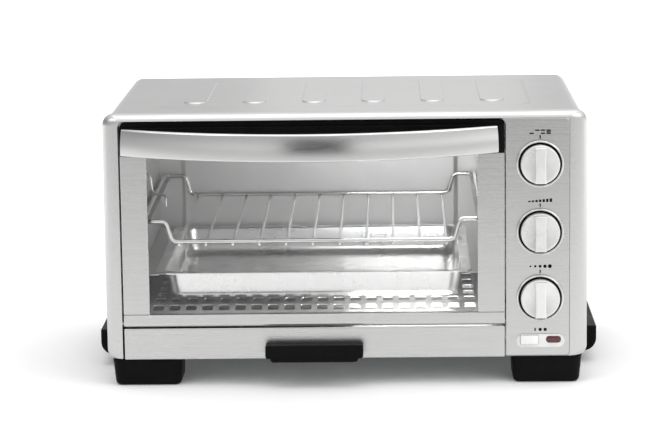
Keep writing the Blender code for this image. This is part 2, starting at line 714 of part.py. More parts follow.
def door_handle():
    """A wide band, bowed forward, with a foot at each end."""
    thick, end_gap, foot = 0.0016, 0.0040, 0.0075
    left, right = DOOR_LEFT + 0.0006, DOOR_RIGHT - 0.0044
    middle, half = (left + right) / 2, (right - left) / 2
    rise = HANDLE_BOW - end_gap
    radius = (half * half + rise * rise) / (2 * rise)
    sweep = math.degrees(math.asin(half / radius))
    centre = (middle, FRONT - HANDLE_BOW + radius)
    outer = arc(centre, radius, 270 - sweep, 270 + sweep, 24)
    inner_reach = half - foot
    inner_sweep = math.degrees(math.asin(inner_reach / (radius - thick)))
    inner = arc(centre, radius - thick, 270 + inner_sweep, 270 - inner_sweep, 24)
    back = FRONT - GAP
    outline = [(left, back), *outer, (right, back), (right - foot, back), *inner, (left + foot, back)]
    obj = plate("door_handle", [outline], "XY", 0.1852, 0.2064)
    return finish(smooth(obj), "bright_steel")


def door_hinge_arm():
    """The lever on the door that its spring pulls."""
    shape = [(FRONT + 0.0082, 0.0488), (FRONT + 0.0240, 0.0488), (FRONT + 0.0240, 0.0530),
             (FRONT + 0.0082, 0.0560)]
    return finish(plate("door_hinge_arm", [shape], "YZ", 0.1180, 0.1196), "zinc")


def hinge_pins():
    """The two pins that the door turns on, each with a head inside the bezel."""
    for name, side, way in (("left", OPENING_LEFT, 1), ("right", OPENING_RIGHT, -1)):
        pin = rod(f"hinge_pin_{name}", at(side - way * 0.0030, *PIVOT), at(side + way * 0.0108, *PIVOT),
                  PIN_RADIUS, 12)
        head = rod(f"pin_head_{name}", at(side - way * 0.0031, *PIVOT), at(side - way * 0.0014, *PIVOT),
                   0.0017, 12)
        finish(unite(pin, head), "zinc")


def door_spring():
    """The tension spring that pulls the door shut, between the hinge arm and the base."""
    turns, per_turn, radius, length = 7, 8, 0.0034, 0.0200
    centre = Vector((0.1225, FRONT + 0.0290, 0.0510))
    coil = []
    for i in range(turns * per_turn + 1):
        turn = 2 * math.pi * i / per_turn
        along = length * i / (turns * per_turn)
        coil.append(centre + Vector((radius * math.cos(turn), along, radius * math.sin(turn))))
    hook_near = centre + Vector((radius, -0.0060, 0))
    hook_far = centre + Vector((radius, length + 0.0040, 0))
    obj = wire("door_spring", [hook_near, *coil, hook_far], 0.0006, resolution=1)
    return finish(obj, "spring_steel")


# ---------------------------------------------------------------- controls


def knobs():
    """Round knobs with a waisted grip bar and a shaft, each in its trim ring."""
    for name, z in KNOBS.items():
        profile = [(0, 0.0085), (0.0136, 0.0085), (KNOB_RADIUS, 0.0070), (KNOB_RADIUS, 0.0012),
                   (0.0060, 0.0008), (0.0030, 0.0008), (0.0030, -0.0226), (0, -0.0226)]
        knob = turned(f"{name}_knob", profile, at(KNOB_X, 0, z), 28)
        steps = 6
        right = []
        for i in range(steps + 1):
            share = 2 * i / steps - 1
            right.append((0.0039 + 0.0006 * share * share, 0.0146 * share))
        outline = [(KNOB_X + x, z + up) for x, up in right]
        outline += [(KNOB_X - x, z + up) for x, up in reversed(right)]
        bar = plate(f"grip_{name}", [outline], "XZ", FRONT - 0.0136, FRONT - 0.0070)
        finish(unite(knob, bar), "silver_plastic")
        ring = [(0.0163, GAP), (0.0163, 0.0016), (0.0172, 0.0026), (0.0180, 0.0022), (0.0186, GAP)]
        finish(turned(f"{name}_knob_ring", ring, at(KNOB_X, 0, z), 28), "bright_steel")


def panel_switches():
    """What the knobs and the button work, on a bracket behind the panel."""
    bracket_front = 0.0216
    outer = rounded(0.1290, 0.1860, 0.0480, 0.1960, 0.002, 1)
    holes = [arc((KNOB_X, z), 0.0045, 0, 330, 11) for z in KNOBS.values()]
    finish(plate("control_bracket", [outer, *holes], "XZ", FRONT + bracket_front,
                 FRONT + bracket_front + SHEET), "zinc")
    start = bracket_front + SHEET + GAP + 0.0005
    z = KNOBS["function"]
    finish(rod("function_switch", at(KNOB_X, start, z), at(KNOB_X, start + 0.024, z), 0.0165, 20),
           "black_plastic")
    z = KNOBS["temperature"]
    body = box("thermostat", at(KNOB_X - 0.019, start, z - 0.014), at(KNOB_X + 0.019, start + 0.022, z + 0.014))
    finish(soften(body, 0.002), "ceramic")
    z = KNOBS["shade"]
    finish(rod("shade_timer", at(KNOB_X, start, z), at(KNOB_X, start + 0.032, z), 0.0190, 20), "zinc")
    left, right, bottom, top = BUTTON
    finish(box("start_switch", at(left, 0.0064, bottom - 0.002), at(right, 0.0200, top + 0.002)),
           "black_plastic")


def start_button():
    """The push button, with a stem behind its face."""
    left, right, bottom, top = BUTTON
    face = soften(box("start_button", at(left, -0.0030, bottom), at(right, 0.0016, top)), 0.0006)
    stem = box("button_stem", at(left + 0.004, 0.0010, bottom + 0.002), at(right - 0.004, 0.0038, top - 0.002))
    return finish(unite(face, stem), "white_plastic")


def indicator():
    """The pill-shaped trim plate and the lens of the power light."""
    left, right, bottom, top = TRIM
    outline = rounded(left, right, bottom, top, (top - bottom) / 2 - 0.0001, 5)
    edge = 0.0003
    button = rounded(BUTTON[0] - edge, BUTTON[1] + edge, BUTTON[2] - edge, BUTTON[3] + edge, 0.0004, 1)
    lens_edge = rounded(LENS[0] - edge, LENS[1] + edge, LENS[2] - edge, LENS[3] + edge, 0.0026, 3)
    finish(plate("button_trim", [outline, button, lens_edge], "XZ", FRONT - 0.0012, FRONT - GAP),
           "silver_plastic")
    lens = rounded(*LENS, 0.0023, 3)
    obj = plate("indicator_lens", [lens], "XZ", FRONT - 0.0018, FRONT + 0.0040)
    finish(soften(obj, 0.0005), "red_lens")


def wiring_entry():
    """The gland for the supply lead in the rear cover, and the terminal block inside."""
    x, z = GLAND
    profile = [(0.0100, 0.0), (0.0066, 0.0), (0.0066, 0.0110), (0.0040, 0.0110), (0.0040, -0.0070),
               (0.0072, -0.0070), (0.0100, -0.0030)]
    place = at(x, BODY_DEPTH + GAP, z)
    finish(turned("cord_gland", profile[::-1], place, 20), "black_plastic")
    block = box("terminal_block", at(0.1290, 0.1900, 0.0226), at(0.1710, 0.2080, 0.0400))
    finish(soften(block, 0.001), "white_plastic")


# ---------------------------------------------------------------- assembly


def build():
    """Makes every piece, then hangs the moving ones on their axes."""
    outer_wrapper()
    front_bezel()
    base_plate()
    rear_cover()
    feet()
    side_handles()
    rear_spacers()
    cavity()
    guides()
    elements()
    rack_hook()
    hinge_pins()
    door_spring()
    knobs()
    panel_switches()
    indicator()
    wiring_entry()
    door_axis = empty("door_axis", at(0, *PIVOT))
    carry(door_axis, *door_stiles(), door_bottom_rail(), door_top_rail(), door_glass(),
          door_handle(), door_hinge_arm())
    carry(empty("rack_slide_axis", at(MIDDLE, RACK_FRONT, RACK_LOW)), wire_rack())
    carry(empty("pan_slide_axis", at(MIDDLE, PAN_FRONT, PAN_RIM)), baking_pan())
    carry(empty("tray_slide_axis", at(DOOR_MIDDLE, 0, TRAY_TOP)), crumb_tray(), crumb_tray_handle())
    carry(empty("button_axis", at((BUTTON[0] + BUTTON[1]) / 2, 0, (BUTTON[2] + BUTTON[3]) / 2)),
          start_button())


build()
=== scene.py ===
"""Looks of a countertop toaster oven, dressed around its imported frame.

Everything is in metres in the frame of the solids: +Z is up, the front faces -Y and the origin is on
the surface that the feet stand on. Each sub-assembly is a class that builds its own pieces. The
places come from the boxes of the frame's nodes, and the fields of a class are the fine sizes that
the plain solids leave out.
"""

import contextlib
import json
import logging
import math
from collections.abc import Callable, Iterator, Sequence
from dataclasses import dataclass, field
from enum import Enum

import bmesh
import bpy
from mathutils import Matrix, Vector


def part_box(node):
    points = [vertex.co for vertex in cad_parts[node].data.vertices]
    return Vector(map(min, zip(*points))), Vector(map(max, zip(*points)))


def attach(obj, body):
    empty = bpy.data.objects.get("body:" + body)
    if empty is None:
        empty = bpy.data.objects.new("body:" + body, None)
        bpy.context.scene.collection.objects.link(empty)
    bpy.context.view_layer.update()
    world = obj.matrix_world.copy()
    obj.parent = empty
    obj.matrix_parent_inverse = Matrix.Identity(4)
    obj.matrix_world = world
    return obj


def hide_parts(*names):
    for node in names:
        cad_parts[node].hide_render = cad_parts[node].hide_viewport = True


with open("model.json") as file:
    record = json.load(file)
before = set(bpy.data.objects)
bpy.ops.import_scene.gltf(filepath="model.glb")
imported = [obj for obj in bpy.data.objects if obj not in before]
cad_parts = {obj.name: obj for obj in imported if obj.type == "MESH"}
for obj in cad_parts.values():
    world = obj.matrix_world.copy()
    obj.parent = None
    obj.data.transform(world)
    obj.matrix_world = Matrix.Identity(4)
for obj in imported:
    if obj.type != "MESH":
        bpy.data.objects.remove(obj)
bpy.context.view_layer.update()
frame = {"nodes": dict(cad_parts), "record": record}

LOG = logging.getLogger("toaster_oven")
TINY = 1e-5  # metres, under which two points are one
GAP = 0.0002  # metres round what sits in a hole of the trim plate
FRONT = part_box("front_bezel")[0].y  # the plane of the flat front
DIALS = ("function", "temperature", "shade")

Object = bpy.types.Object
Flat = tuple[float, float]
Place = Sequence[float]


# ------------------------------------------------------------------ outlines


def arc(centre: Flat, radius: float, start: float, end: float, steps: int) -> list[Flat]:
    """Points along an arc.

    Args:
        centre: middle of the arc.
        radius: its radius.
        start: first angle in degrees.
        end: last angle in degrees.
        steps: how many chords it has.

    Returns:
        The points, both ends included.
    """
    turns = [math.radians(start + (end - start) * i / steps) for i in range(steps + 1)]
    return [(centre[0] + radius * math.cos(t), centre[1] + radius * math.sin(t)) for t in turns]


def rounded(left: float, right: float, bottom: float, top: float,
            radii: float | Sequence[float], steps: int = 6) -> list[Flat]:
    """A rectangle with round corners.

    Args:
        left, right, bottom, top: its sides.
        radii: one radius, or bottom left, bottom right, top right and top left.
        steps: chords in each corner.

    Returns:
        Its points, anticlockwise from the bottom left corner.
    """
    radii = [radii] * 4 if isinstance(radii, float) else radii
    corners = ((left, bottom, 1, 1, 180), (right, bottom, -1, 1, 270),
               (right, top, -1, -1, 0), (left, top, 1, -1, 90))
    points: list[Flat] = []
    for (x, z, inward, upward, start), radius in zip(corners, radii):
        centre = (x + inward * radius, z + upward * radius)
        points += arc(centre, radius, start, start + 90, steps) if radius else [centre]
    return points


def middle_of(node: str) -> Vector:
    """The middle of a node's box."""
    low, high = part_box(node)
    return (low + high) / 2


def bent(corners: Sequence[Place], radius: float, steps: int = 6, closed: bool = False) -> list[Vector]:
    """A wire's middle line: straight runs with a round bend at each corner.

    Args:
        corners: where the straight runs would meet.
        radius: bend radius, made smaller where a run is too short for it.
        steps: chords in each bend.
        closed: whether the last run meets the first.

    Returns:
        The points of the line.
    """
    spots = [Vector(c) for c in corners]
    count = len(spots)
    line: list[Vector] = []
    for i, spot in enumerate(spots):
        if not closed and i in (0, count - 1):
            line.append(spot)
            continue
        before, after = spots[i - 1] - spot, spots[(i + 1) % count] - spot
        half = before.angle(after) / 2
        reach = min(radius / math.tan(half), before.length * 0.49, after.length * 0.49)
        round_radius = reach * math.tan(half)
        middle = spot + (before.normalized() + after.normalized()).normalized() * (
            round_radius / math.sin(half))
        first = (spot + before.normalized() * reach - middle).normalized()
        last = (spot + after.normalized() * reach - middle).normalized()
        for k in range(steps + 1):
            line.append(middle + first.slerp(last, k / steps) * round_radius)
    return line


# ------------------------------------------------------------------ work with operators


class Axis(Enum):
    """Which way a flat piece's thickness runs."""

    X = "x"
    Y = "y"
    Z = "z"

    def lifted(self, point: Flat, level: float) -> Vector:
        """The point in space of a flat point at a level along this axis."""
        a, b = point
        return Vector({"x": (level, a, b), "y": (a, level, b), "z": (a, b, level)}[self.value])


class Bench:
    """Modelling moves, each made with Blender's own operators."""

    @staticmethod
    def clear() -> None:
        """Leaves edit mode and selects nothing."""
        active = bpy.context.view_layer.objects.active
        if active is not None and active.mode != "OBJECT":
            bpy.ops.object.mode_set(mode="OBJECT")
        bpy.ops.object.select_all(action="DESELECT")

    @staticmethod
    def take(*objects: Object) -> Object:
        """Selects only these objects and makes the first one active.

        Args:
            objects: what to select.

        Returns:
            The first object.
        """
        Bench.clear()
        for obj in objects:
            obj.select_set(True)
        bpy.context.view_layer.objects.active = objects[0]
        return objects[0]

    @staticmethod
    def named(name: str) -> Object:
        """Names the new active object and settles its place into its mesh."""
        obj = bpy.context.view_layer.objects.active
        obj.name = obj.data.name = name
        bpy.ops.object.transform_apply(location=True, rotation=True, scale=True)
        return obj

    @staticmethod
    @contextlib.contextmanager
    def editing(obj: Object) -> Iterator[bmesh.types.BMesh]:
        """Edit mode on one object, with nothing of it selected.

        Args:
            obj: the object.

        Yields:
            Its mesh in edit mode.
        """
        Bench.take(obj)
        bpy.ops.object.mode_set(mode="EDIT")
        bpy.ops.mesh.select_all(action="DESELECT")
        yield bmesh.from_edit_mesh(obj.data)
        bpy.ops.object.mode_set(mode="OBJECT")

    @staticmethod
    def pick_edges(obj: Object, test: Callable[[Vector, Vector], bool], rim: bool = False) -> None:
        """Selects edges in edit mode by the places of their ends.

        Args:
            obj: the object in edit mode.
            test: takes both ends and says whether the edge is wanted.
            rim: whether only edges with a single face count.
        """
        bpy.ops.mesh.select_mode(type="EDGE")
        bpy.ops.mesh.select_all(action="DESELECT")
        mesh = bmesh.from_edit_mesh(obj.data)
        for edge in mesh.edges:
            if test(edge.verts[0].co, edge.verts[1].co) and (not rim or len(edge.link_faces) == 1):
                edge.select_set(True)
        bmesh.update_edit_mesh(obj.data)

    @staticmethod
    def pick_faces(obj: Object, test: Callable[[Vector, Vector], bool], sides: int = 0) -> None:
        """Selects faces in edit mode by their middle and normal.

        Args:
            obj: the object in edit mode.
            test: takes a face's middle and normal and says whether it is wanted.
            sides: the fewest corners that a wanted face has.
        """
        bpy.ops.mesh.select_mode(type="FACE")
        bpy.ops.mesh.select_all(action="DESELECT")
        mesh = bmesh.from_edit_mesh(obj.data)
        for face in mesh.faces:
            if len(face.verts) >= sides and test(face.calc_center_median(), face.normal):
                face.select_set(True)
        bmesh.update_edit_mesh(obj.data)

    @staticmethod
    def block(name: str, low: Place, high: Place) -> Object:
        """A cube primitive between two corners."""
        low, high = Vector(low), Vector(high)
        Bench.clear()
        bpy.ops.mesh.primitive_cube_add(size=1, location=(low + high) / 2, scale=high - low)
        return Bench.named(name)

    @staticmethod
    def drum(name: str, start: Place, end: Place, radius: float, sides: int = 32) -> Object:
        """A cylinder primitive from one point to another."""
        start, end = Vector(start), Vector(end)
        along = end - start
        turn = along.to_track_quat("Z", "Y").to_euler()
        Bench.clear()
        bpy.ops.mesh.primitive_cylinder_add(vertices=sides, radius=radius, depth=along.length,
                                            location=(start + end) / 2, rotation=turn)
        return Bench.named(name)

    @staticmethod
    def loop(name: str, points: Sequence[Place], filled: bool) -> Object:
        """A circle primitive whose corners are put on an outline.

        Args:
            name: the object's name.
            points: the outline in space.
            filled: whether it gets a face.

        Returns:
            The object.
        """
        Bench.clear()
        bpy.ops.mesh.primitive_circle_add(vertices=len(points), radius=1,
                                          fill_type="NGON" if filled else "NOTHING")
        obj = Bench.named(name)
        for vertex, point in zip(obj.data.vertices, points):
            vertex.co = point
        return obj

    @staticmethod
    def drawn(name: str, rings: Sequence[Sequence[Place]], caps: bool = True) -> Object:
        """A skin drawn out ring by ring: an outline is extruded and put on each next ring.

        Args:
            name: the object's name.
            rings: outlines of equally many points.
            caps: whether both ends are closed.

        Returns:
            The object, with its faces pointing out.
        """
        obj = Bench.loop(name, rings[0], caps)
        count = len(rings[0])
        with Bench.editing(obj):
            last = list(range(count))
            for ring in rings[1:]:
                mesh = bmesh.from_edit_mesh(obj.data)
                mesh.verts.ensure_lookup_table()
                bpy.ops.mesh.select_mode(type="EDGE")
                bpy.ops.mesh.select_all(action="DESELECT")
                for i in range(count):
                    pair = (mesh.verts[last[i]], mesh.verts[last[(i + 1) % count]])
                    mesh.edges.get(pair).select_set(True)
                bmesh.update_edit_mesh(obj.data)
                bpy.ops.mesh.extrude_edges_move()
                mesh = bmesh.from_edit_mesh(obj.data)
                mesh.verts.ensure_lookup_table()
                mesh.verts.index_update()
                old = set(last)
                fresh = []
                for i, point in zip(last, ring):
                    vertex = next(e.other_vert(mesh.verts[i]) for e in mesh.verts[i].link_edges
                                  if e.other_vert(mesh.verts[i]).select
                                  and e.other_vert(mesh.verts[i]).index not in old)
                    vertex.co = point
                    fresh.append(vertex.index)
                last = fresh
            if caps:
                bpy.ops.mesh.edge_face_add()
            bpy.ops.mesh.select_all(action="SELECT")
            bpy.ops.mesh.normals_make_consistent(inside=False)
        return obj

    @staticmethod
    def lathe(name: str, profile: Sequence[Flat], centre: Place, axis: Place, steps: int = 48) -> Object:
        """A turned piece: a profile of (radius, way along the axis) spun a full turn.

        Args:
            name: the object's name.
            profile: from the axis round to the axis again, or a closed ring off the axis.
            centre: the point on the axis that the profile is measured from.
            axis: direction of the axis.
            steps: how many flats the round has.

        Returns:
            The object, closed, with its faces pointing out.
        """
        along = Vector(axis).normalized()
        side = along.orthogonal().normalized()
        points = [Vector(centre) + side * radius + along * way for radius, way in profile]
        obj = Bench.loop(name, points, False)
        with Bench.editing(obj):
            if profile[0][0] < TINY:
                Bench.pick_edges(obj, lambda a, b: max(
                    (p - Vector(centre)).cross(along).length for p in (a, b)) < TINY)
                bpy.ops.mesh.delete(type="EDGE")
            bpy.ops.mesh.select_all(action="SELECT")
            bpy.ops.mesh.spin(steps=steps, angle=2 * math.pi, center=centre, axis=along)
            Bench.weld()
        return obj

    @staticmethod
    def curve(name: str, dimensions: str, lines: Sequence[Sequence[Place]], closed: bool) -> Object:
        """A curve object with a straight-sided spline for each line.

        Args:
            name: the object's name.
            dimensions: 2D for a flat outline, 3D for a wire.
            lines: the points of each spline.
            closed: whether each line runs back into itself.

        Returns:
            The object, still a curve.
        """
        Bench.clear()
        curve = bpy.data.curves.new(name, "CURVE")
        curve.dimensions = dimensions
        for line in lines:
            spline = curve.splines.new("POLY")
            spline.points.add(len(line) - 1)
            for knot, point in zip(spline.points, line):
                knot.co = (*point, 1.0)
            spline.use_cyclic_u = closed
        obj = bpy.data.objects.new(name, curve)
        bpy.context.scene.collection.objects.link(obj)
        return obj

    @staticmethod
    def plate(name: str, outlines: Sequence[Sequence[Flat]], axis: Axis, low: float, high: float,
              edge: float = 0.0, segments: int = 2) -> Object:
        """A flat piece cut to outlines, with softened edges.

        Args:
            name: the object's name.
            outlines: the edge of the piece, then the edges of its holes.
            axis: the way its thickness runs.
            low: where its thickness starts.
            high: where its thickness ends.
            edge: radius of the softened edges.
            segments: flats in a softened edge.

        Returns:
            The object as a closed mesh.
        """
        obj = Bench.curve(name, "2D", [[(a, b, 0.0) for a, b in outline] for outline in outlines], True)
        obj.data.fill_mode = "BOTH"
        obj.data.extrude = max((high - low) / 2 - edge, 0.0)
        obj.data.bevel_depth, obj.data.bevel_resolution, obj.data.offset = edge, segments - 1, -edge
        obj.matrix_world = Matrix([[*axis.lifted((1, 0), 0)], [*axis.lifted((0, 1), 0)],
                                   [*axis.lifted((0, 0), 1)]]).transposed().to_4x4()
        obj.location = axis.lifted((0, 0), (low + high) / 2)
        Bench.take(obj)
        bpy.ops.object.convert(target="MESH")
        return Bench.closed(Bench.named(name))

    @staticmethod
    def tube(name: str, line: Sequence[Place], radius: float, closed: bool = False, sides: int = 3) -> Object:
        """A round wire or tube along a line.

        Args:
            name: the object's name.
            line: the points of its middle line.
            radius: its radius.
            closed: whether it runs back into itself.
            sides: bevel resolution; the tube has twice this many sides, and two more.

        Returns:
            The object as a closed mesh, shaded smooth.
        """
        obj = Bench.curve(name, "3D", [line], closed)
        obj.data.bevel_depth, obj.data.bevel_resolution, obj.data.use_fill_caps = radius, sides, not closed
        Bench.take(obj)
        bpy.ops.object.convert(target="MESH")
        return Bench.smooth(Bench.closed(Bench.named(name)))

    @staticmethod
    def weld() -> None:
        """In edit mode, merges doubled points and turns every face outwards."""
        bpy.ops.mesh.select_all(action="SELECT")
        bpy.ops.mesh.remove_doubles(threshold=TINY)
        bpy.ops.mesh.normals_make_consistent(inside=False)

    @staticmethod
    def closed(obj: Object) -> Object:
        """Welds a whole object."""
        with Bench.editing(obj):
            Bench.weld()
        return obj

    @staticmethod
    def modify(obj: Object, kind: str, **settings: object) -> Object:
        """Adds a modifier with its settings and applies it."""
        Bench.take(obj)
        modifier = obj.modifiers.new(kind.lower(), kind)
        for key, value in settings.items():
            setattr(modifier, key, value)
        bpy.ops.object.modifier_apply(modifier=modifier.name)
        return obj

    @staticmethod
    def cut(obj: Object, *tools: Object, union: bool = False) -> Object:
        """Cuts tools out of an object, or joins them to it as one solid; the tools are used up."""
        for tool in tools:
            Bench.modify(obj, "BOOLEAN", operation="UNION" if union else "DIFFERENCE", object=tool,
                         solver="EXACT")
            bpy.data.objects.remove(tool)
        return obj

    @staticmethod
    def soften(obj: Object, width: float, segments: int = 3, angle: float = 40) -> Object:
        """Rounds the sharp edges by a small bevel and shades the piece smooth.

        Args:
            obj: the object.
            width: size of the bevel.
            segments: flats across it.
            angle: edges sharper than this many degrees are rounded.

        Returns:
            The object.
        """
        Bench.modify(obj, "BEVEL", width=width, segments=segments, limit_method="ANGLE",
                     angle_limit=math.radians(angle), use_clamp_overlap=True)
        return Bench.smooth(obj)

    @staticmethod
    def round_edges(obj: Object, test: Callable[[Vector, Vector], bool], width: float,
                    segments: int = 6) -> Object:
        """Rounds chosen edges with the bevel operator."""
        with Bench.editing(obj):
            Bench.pick_edges(obj, test)
            bpy.ops.mesh.bevel(offset=width, segments=segments, affect="EDGES", clamp_overlap=True)
        return obj

    @staticmethod
    def smooth(obj: Object, angle: float = 38) -> Object:
        """Shades smooth up to an angle, with large flats kept flat."""
        Bench.take(obj)
        bpy.ops.object.shade_smooth_by_angle(angle=math.radians(angle))
        return Bench.modify(obj, "WEIGHTED_NORMAL", keep_sharp=True, weight=50)

    @staticmethod
    def copies(obj: Object, shifts: Sequence[Place]) -> list[Object]:
        """The object and moved copies of it, each with a mesh of its own.

        Args:
            obj: the first one, which stays where it is.
            shifts: how far each copy is moved.

        Returns:
            The object and its copies.
        """
        made = [obj]
        for shift in shifts:
            Bench.take(obj)
            bpy.ops.object.duplicate(linked=False)
            twin = bpy.context.view_layer.objects.active
            twin.location = Vector(shift)
            bpy.ops.object.transform_apply(location=True, rotation=False, scale=False)
            made.append(twin)
        return made

    @staticmethod
    def mirrored(obj: Object, name: str, middle: float = 0.0) -> Object:
        """A copy on the other side of an upright plane across X.

        Args:
            obj: the piece to mirror.
            name: the copy's name.
            middle: x of the plane.

        Returns:
            The copy, with its faces pointing out.
        """
        Bench.take(obj)
        bpy.ops.object.duplicate(linked=False)
        twin = bpy.context.view_layer.objects.active
        twin.scale = (-1, 1, 1)
        twin.location.x = 2 * middle
        return Bench.smooth(Bench.closed(Bench.named(name)))

    @staticmethod
    def joined(name: str, *objects: Object) -> Object:
        """Several meshes as one object."""
        Bench.take(*objects)
        if len(objects) > 1:
            bpy.ops.object.join()
        return Bench.named(name)


# ------------------------------------------------------------------ shader maths


class Amount:
    """A number or colour that changes over a surface: an output socket that takes part in sums."""

    def __init__(self, graph: "Graph", socket: bpy.types.NodeSocket) -> None:
        """Keeps the socket and the graph it belongs to."""
        self.graph = graph
        self.socket = socket

    def _sum(self, operation: str, *terms: "Amount | float") -> "Amount":
        """A Math node on these terms."""
        return self.graph.add("ShaderNodeMath", {"operation": operation}, dict(enumerate(terms)))

    def __add__(self, other: "Amount | float") -> "Amount":
        """This plus other."""
        return self._sum("ADD", self, other)

    __radd__ = __add__

    def __sub__(self, other: "Amount | float") -> "Amount":
        """This less other."""
        return self._sum("SUBTRACT", self, other)

    def __rsub__(self, other: "Amount | float") -> "Amount":
        """Other less this."""
        return self._sum("SUBTRACT", other, self)

    def __mul__(self, other: "Amount | float") -> "Amount":
        """This times other."""
        return self._sum("MULTIPLY", self, other)

    __rmul__ = __mul__

    def __pow__(self, other: float) -> "Amount":
        """This to a power."""
        return self._sum("POWER", self, other)

    def above(self, level: float) -> "Amount":
        """One where this is over a level, else nothing."""
        return self._sum("GREATER_THAN", self, level)

    def size(self) -> "Amount":
        """This without its sign."""
        return self._sum("ABSOLUTE", self)

    def spread(self, low: float, high: float, out_low: float = 0.0, out_high: float = 1.0) -> "Amount":
        """This from one range to another, clamped and eased."""
        return self.graph.add("ShaderNodeMapRange", {"interpolation_type": "SMOOTHSTEP"},
                              {"Value": self, "From Min": low, "From Max": high, "To Min": out_low,
                               "To Max": out_high})


class Graph:
    """The nodes of one material, around a Principled shader."""

    def __init__(self, name: str, **constants: object) -> None:
        """Starts a material.

        Args:
            name: the material's name.
            constants: values set on the shader's own sockets, with _ for a space.
        """
        self.material = bpy.data.materials.new(name)
        self.material.use_nodes = True
        self.tree = self.material.node_tree
        self.shader = self.tree.nodes["Principled BSDF"]
        for key, value in constants.items():
            self.shader.inputs[key.replace("_", " ")].default_value = value

    def add(self, kind: str, settings: dict | None = None, inputs: dict | None = None,
            output: int | str = 0) -> Amount:
        """Adds one node.

        Args:
            kind: the node's type.
            settings: its properties; "stops" are a ramp's (position, colour) pairs.
            inputs: values or links of its sockets, by name or number.
            output: which of its outputs is returned.

        Returns:
            The output as an amount.
        """
        node = self.tree.nodes.new(kind)
        for key, value in (settings or {}).items():
            if key == "stops":
                self.set_stops(node.color_ramp, value)
            else:
                setattr(node, key, value)
        for key, value in (inputs or {}).items():
            self.feed(node.inputs[key], value)
        return Amount(self, node.outputs[output])

    @staticmethod
    def set_stops(ramp: bpy.types.ColorRamp, stops: Sequence[tuple[float, Sequence[float]]]) -> None:
        """Sets a colour ramp's stops."""
        while len(ramp.elements) < len(stops):
            ramp.elements.new(0.5)
        for element, (position, colour) in zip(ramp.elements, stops):
            element.position, element.color = position, colour

    def feed(self, socket: bpy.types.NodeSocket, value: object) -> None:
        """Links an amount to a socket, or sets the socket's value."""
        if isinstance(value, Amount):
            self.tree.links.new(value.socket, socket)
        else:
            socket.default_value = value

    def to(self, name: str, value: Amount) -> None:
        """Feeds one of the shader's own sockets."""
        self.feed(self.shader.inputs[name], value)

    def place(self, stretch: Place = (1, 1, 1), centre: Place = (0, 0, 0)) -> Amount:
        """Object coordinates, centred on a point and stretched."""
        spot = self.add("ShaderNodeTexCoord", output="Object")
        shifted = self.add("ShaderNodeVectorMath", {"operation": "SUBTRACT"}, {0: spot, 1: centre})
        return self.add("ShaderNodeMapping", {"vector_type": "POINT"}, {"Vector": shifted, "Scale": stretch})

    def noise(self, place: Amount, scale: float = 1.0, detail: float = 2.0) -> Amount:
        """Smooth noise at a place."""
        return self.add("ShaderNodeTexNoise", inputs={"Vector": place, "Scale": scale, "Detail": detail})

    def mix(self, share: Amount | float, first: object, second: object) -> Amount:
        """A colour between two colours."""
        return self.add("ShaderNodeMix", {"data_type": "RGBA"}, {"Factor": share, 6: first, 7: second}, 2)

    def grey(self, value: Amount, tint: Sequence[float] = (1, 1, 1)) -> Amount:
        """A colour of a brightness, with a slight tint."""
        return self.add("ShaderNodeMix", {"data_type": "RGBA", "blend_type": "MIX"},
                        {"Factor": value, 6: (0, 0, 0, 1), 7: (*tint, 1)}, 2)

    def bump(self, height: Amount, strength: float, distance: float) -> None:
        """Raises the surface by a height map."""
        self.to("Normal", self.add("ShaderNodeBump", inputs={"Strength": strength, "Distance": distance,
                                                             "Height": height}))


class Grain(Enum):
    """Which way a metal sheet was brushed."""

    ACROSS = (22.0, 2600.0, 2600.0)
    ALONG = (2600.0, 22.0, 2600.0)


@dataclass(frozen=True)
class Finish:
    """What all finishes share: a name, and a material made once."""

    name: str

    def paint(self, graph: Graph) -> None:
        """Adds this finish's nodes to a graph; each finish has its own."""

    def constants(self) -> dict:
        """Values of the shader's sockets that are the same all over."""
        return {}

    def material(self) -> bpy.types.Material:
        """The finish as a material, made on first use."""
        known = bpy.data.materials.get(self.name)
        if known is not None:
            return known
        graph = Graph(self.name, **self.constants())
        self.paint(graph)
        return graph.material


@dataclass(frozen=True)
class BrushedSteel(Finish):
    """Stainless sheet with fine brushing in one direction."""

    shade: float = 0.66
    roughness: float = 0.30
    grain: Grain = Grain.ACROSS
    contrast: float = 0.10
    relief: float = 0.25
    folded: bool = False  # whether faces that look sideways are brushed along the oven's depth

    def constants(self) -> dict:
        """Bare metal."""
        return {"Metallic": 1.0}

    def streaks(self, graph: Graph, coarse: float) -> Amount:
        """Brush lines, finer or coarser.

        Args:
            graph: the material's graph.
            coarse: how many times wider than the finest lines they are.

        Returns:
            The lines as an amount about one half.
        """
        wide = [s / coarse for s in self.grain.value]
        lines = graph.noise(graph.place(wide), 1.0, 3.0)
        if not self.folded:
            return lines
        side = graph.noise(graph.place([s / coarse for s in Grain.ALONG.value]), 1.0, 3.0)
        facing = graph.add("ShaderNodeSeparateXYZ", inputs={
            0: graph.add("ShaderNodeTexCoord", output="Normal")}, output="X").size().above(0.7)
        return lines + facing * (side - lines)

    def paint(self, graph: Graph) -> None:
        """Brush lines in the colour, the roughness and the relief, and faint cloudy handling marks."""
        fine, broad = self.streaks(graph, 1.0), self.streaks(graph, 5.0)
        clouds = graph.noise(graph.place((9, 9, 9)), 1.0, 3.0)
        tone = (fine - 0.5) * self.contrast + (broad - 0.5) * (self.contrast * 0.5) + (clouds - 0.5) * 0.05
        graph.to("Base Color", graph.grey(tone + self.shade, (1.0, 0.997, 0.99)))
        graph.to("Roughness", (fine - 0.5) * 0.16 + (clouds - 0.5) * 0.10 + self.roughness)
        graph.bump(fine + broad * 0.3, self.relief, 0.00006)


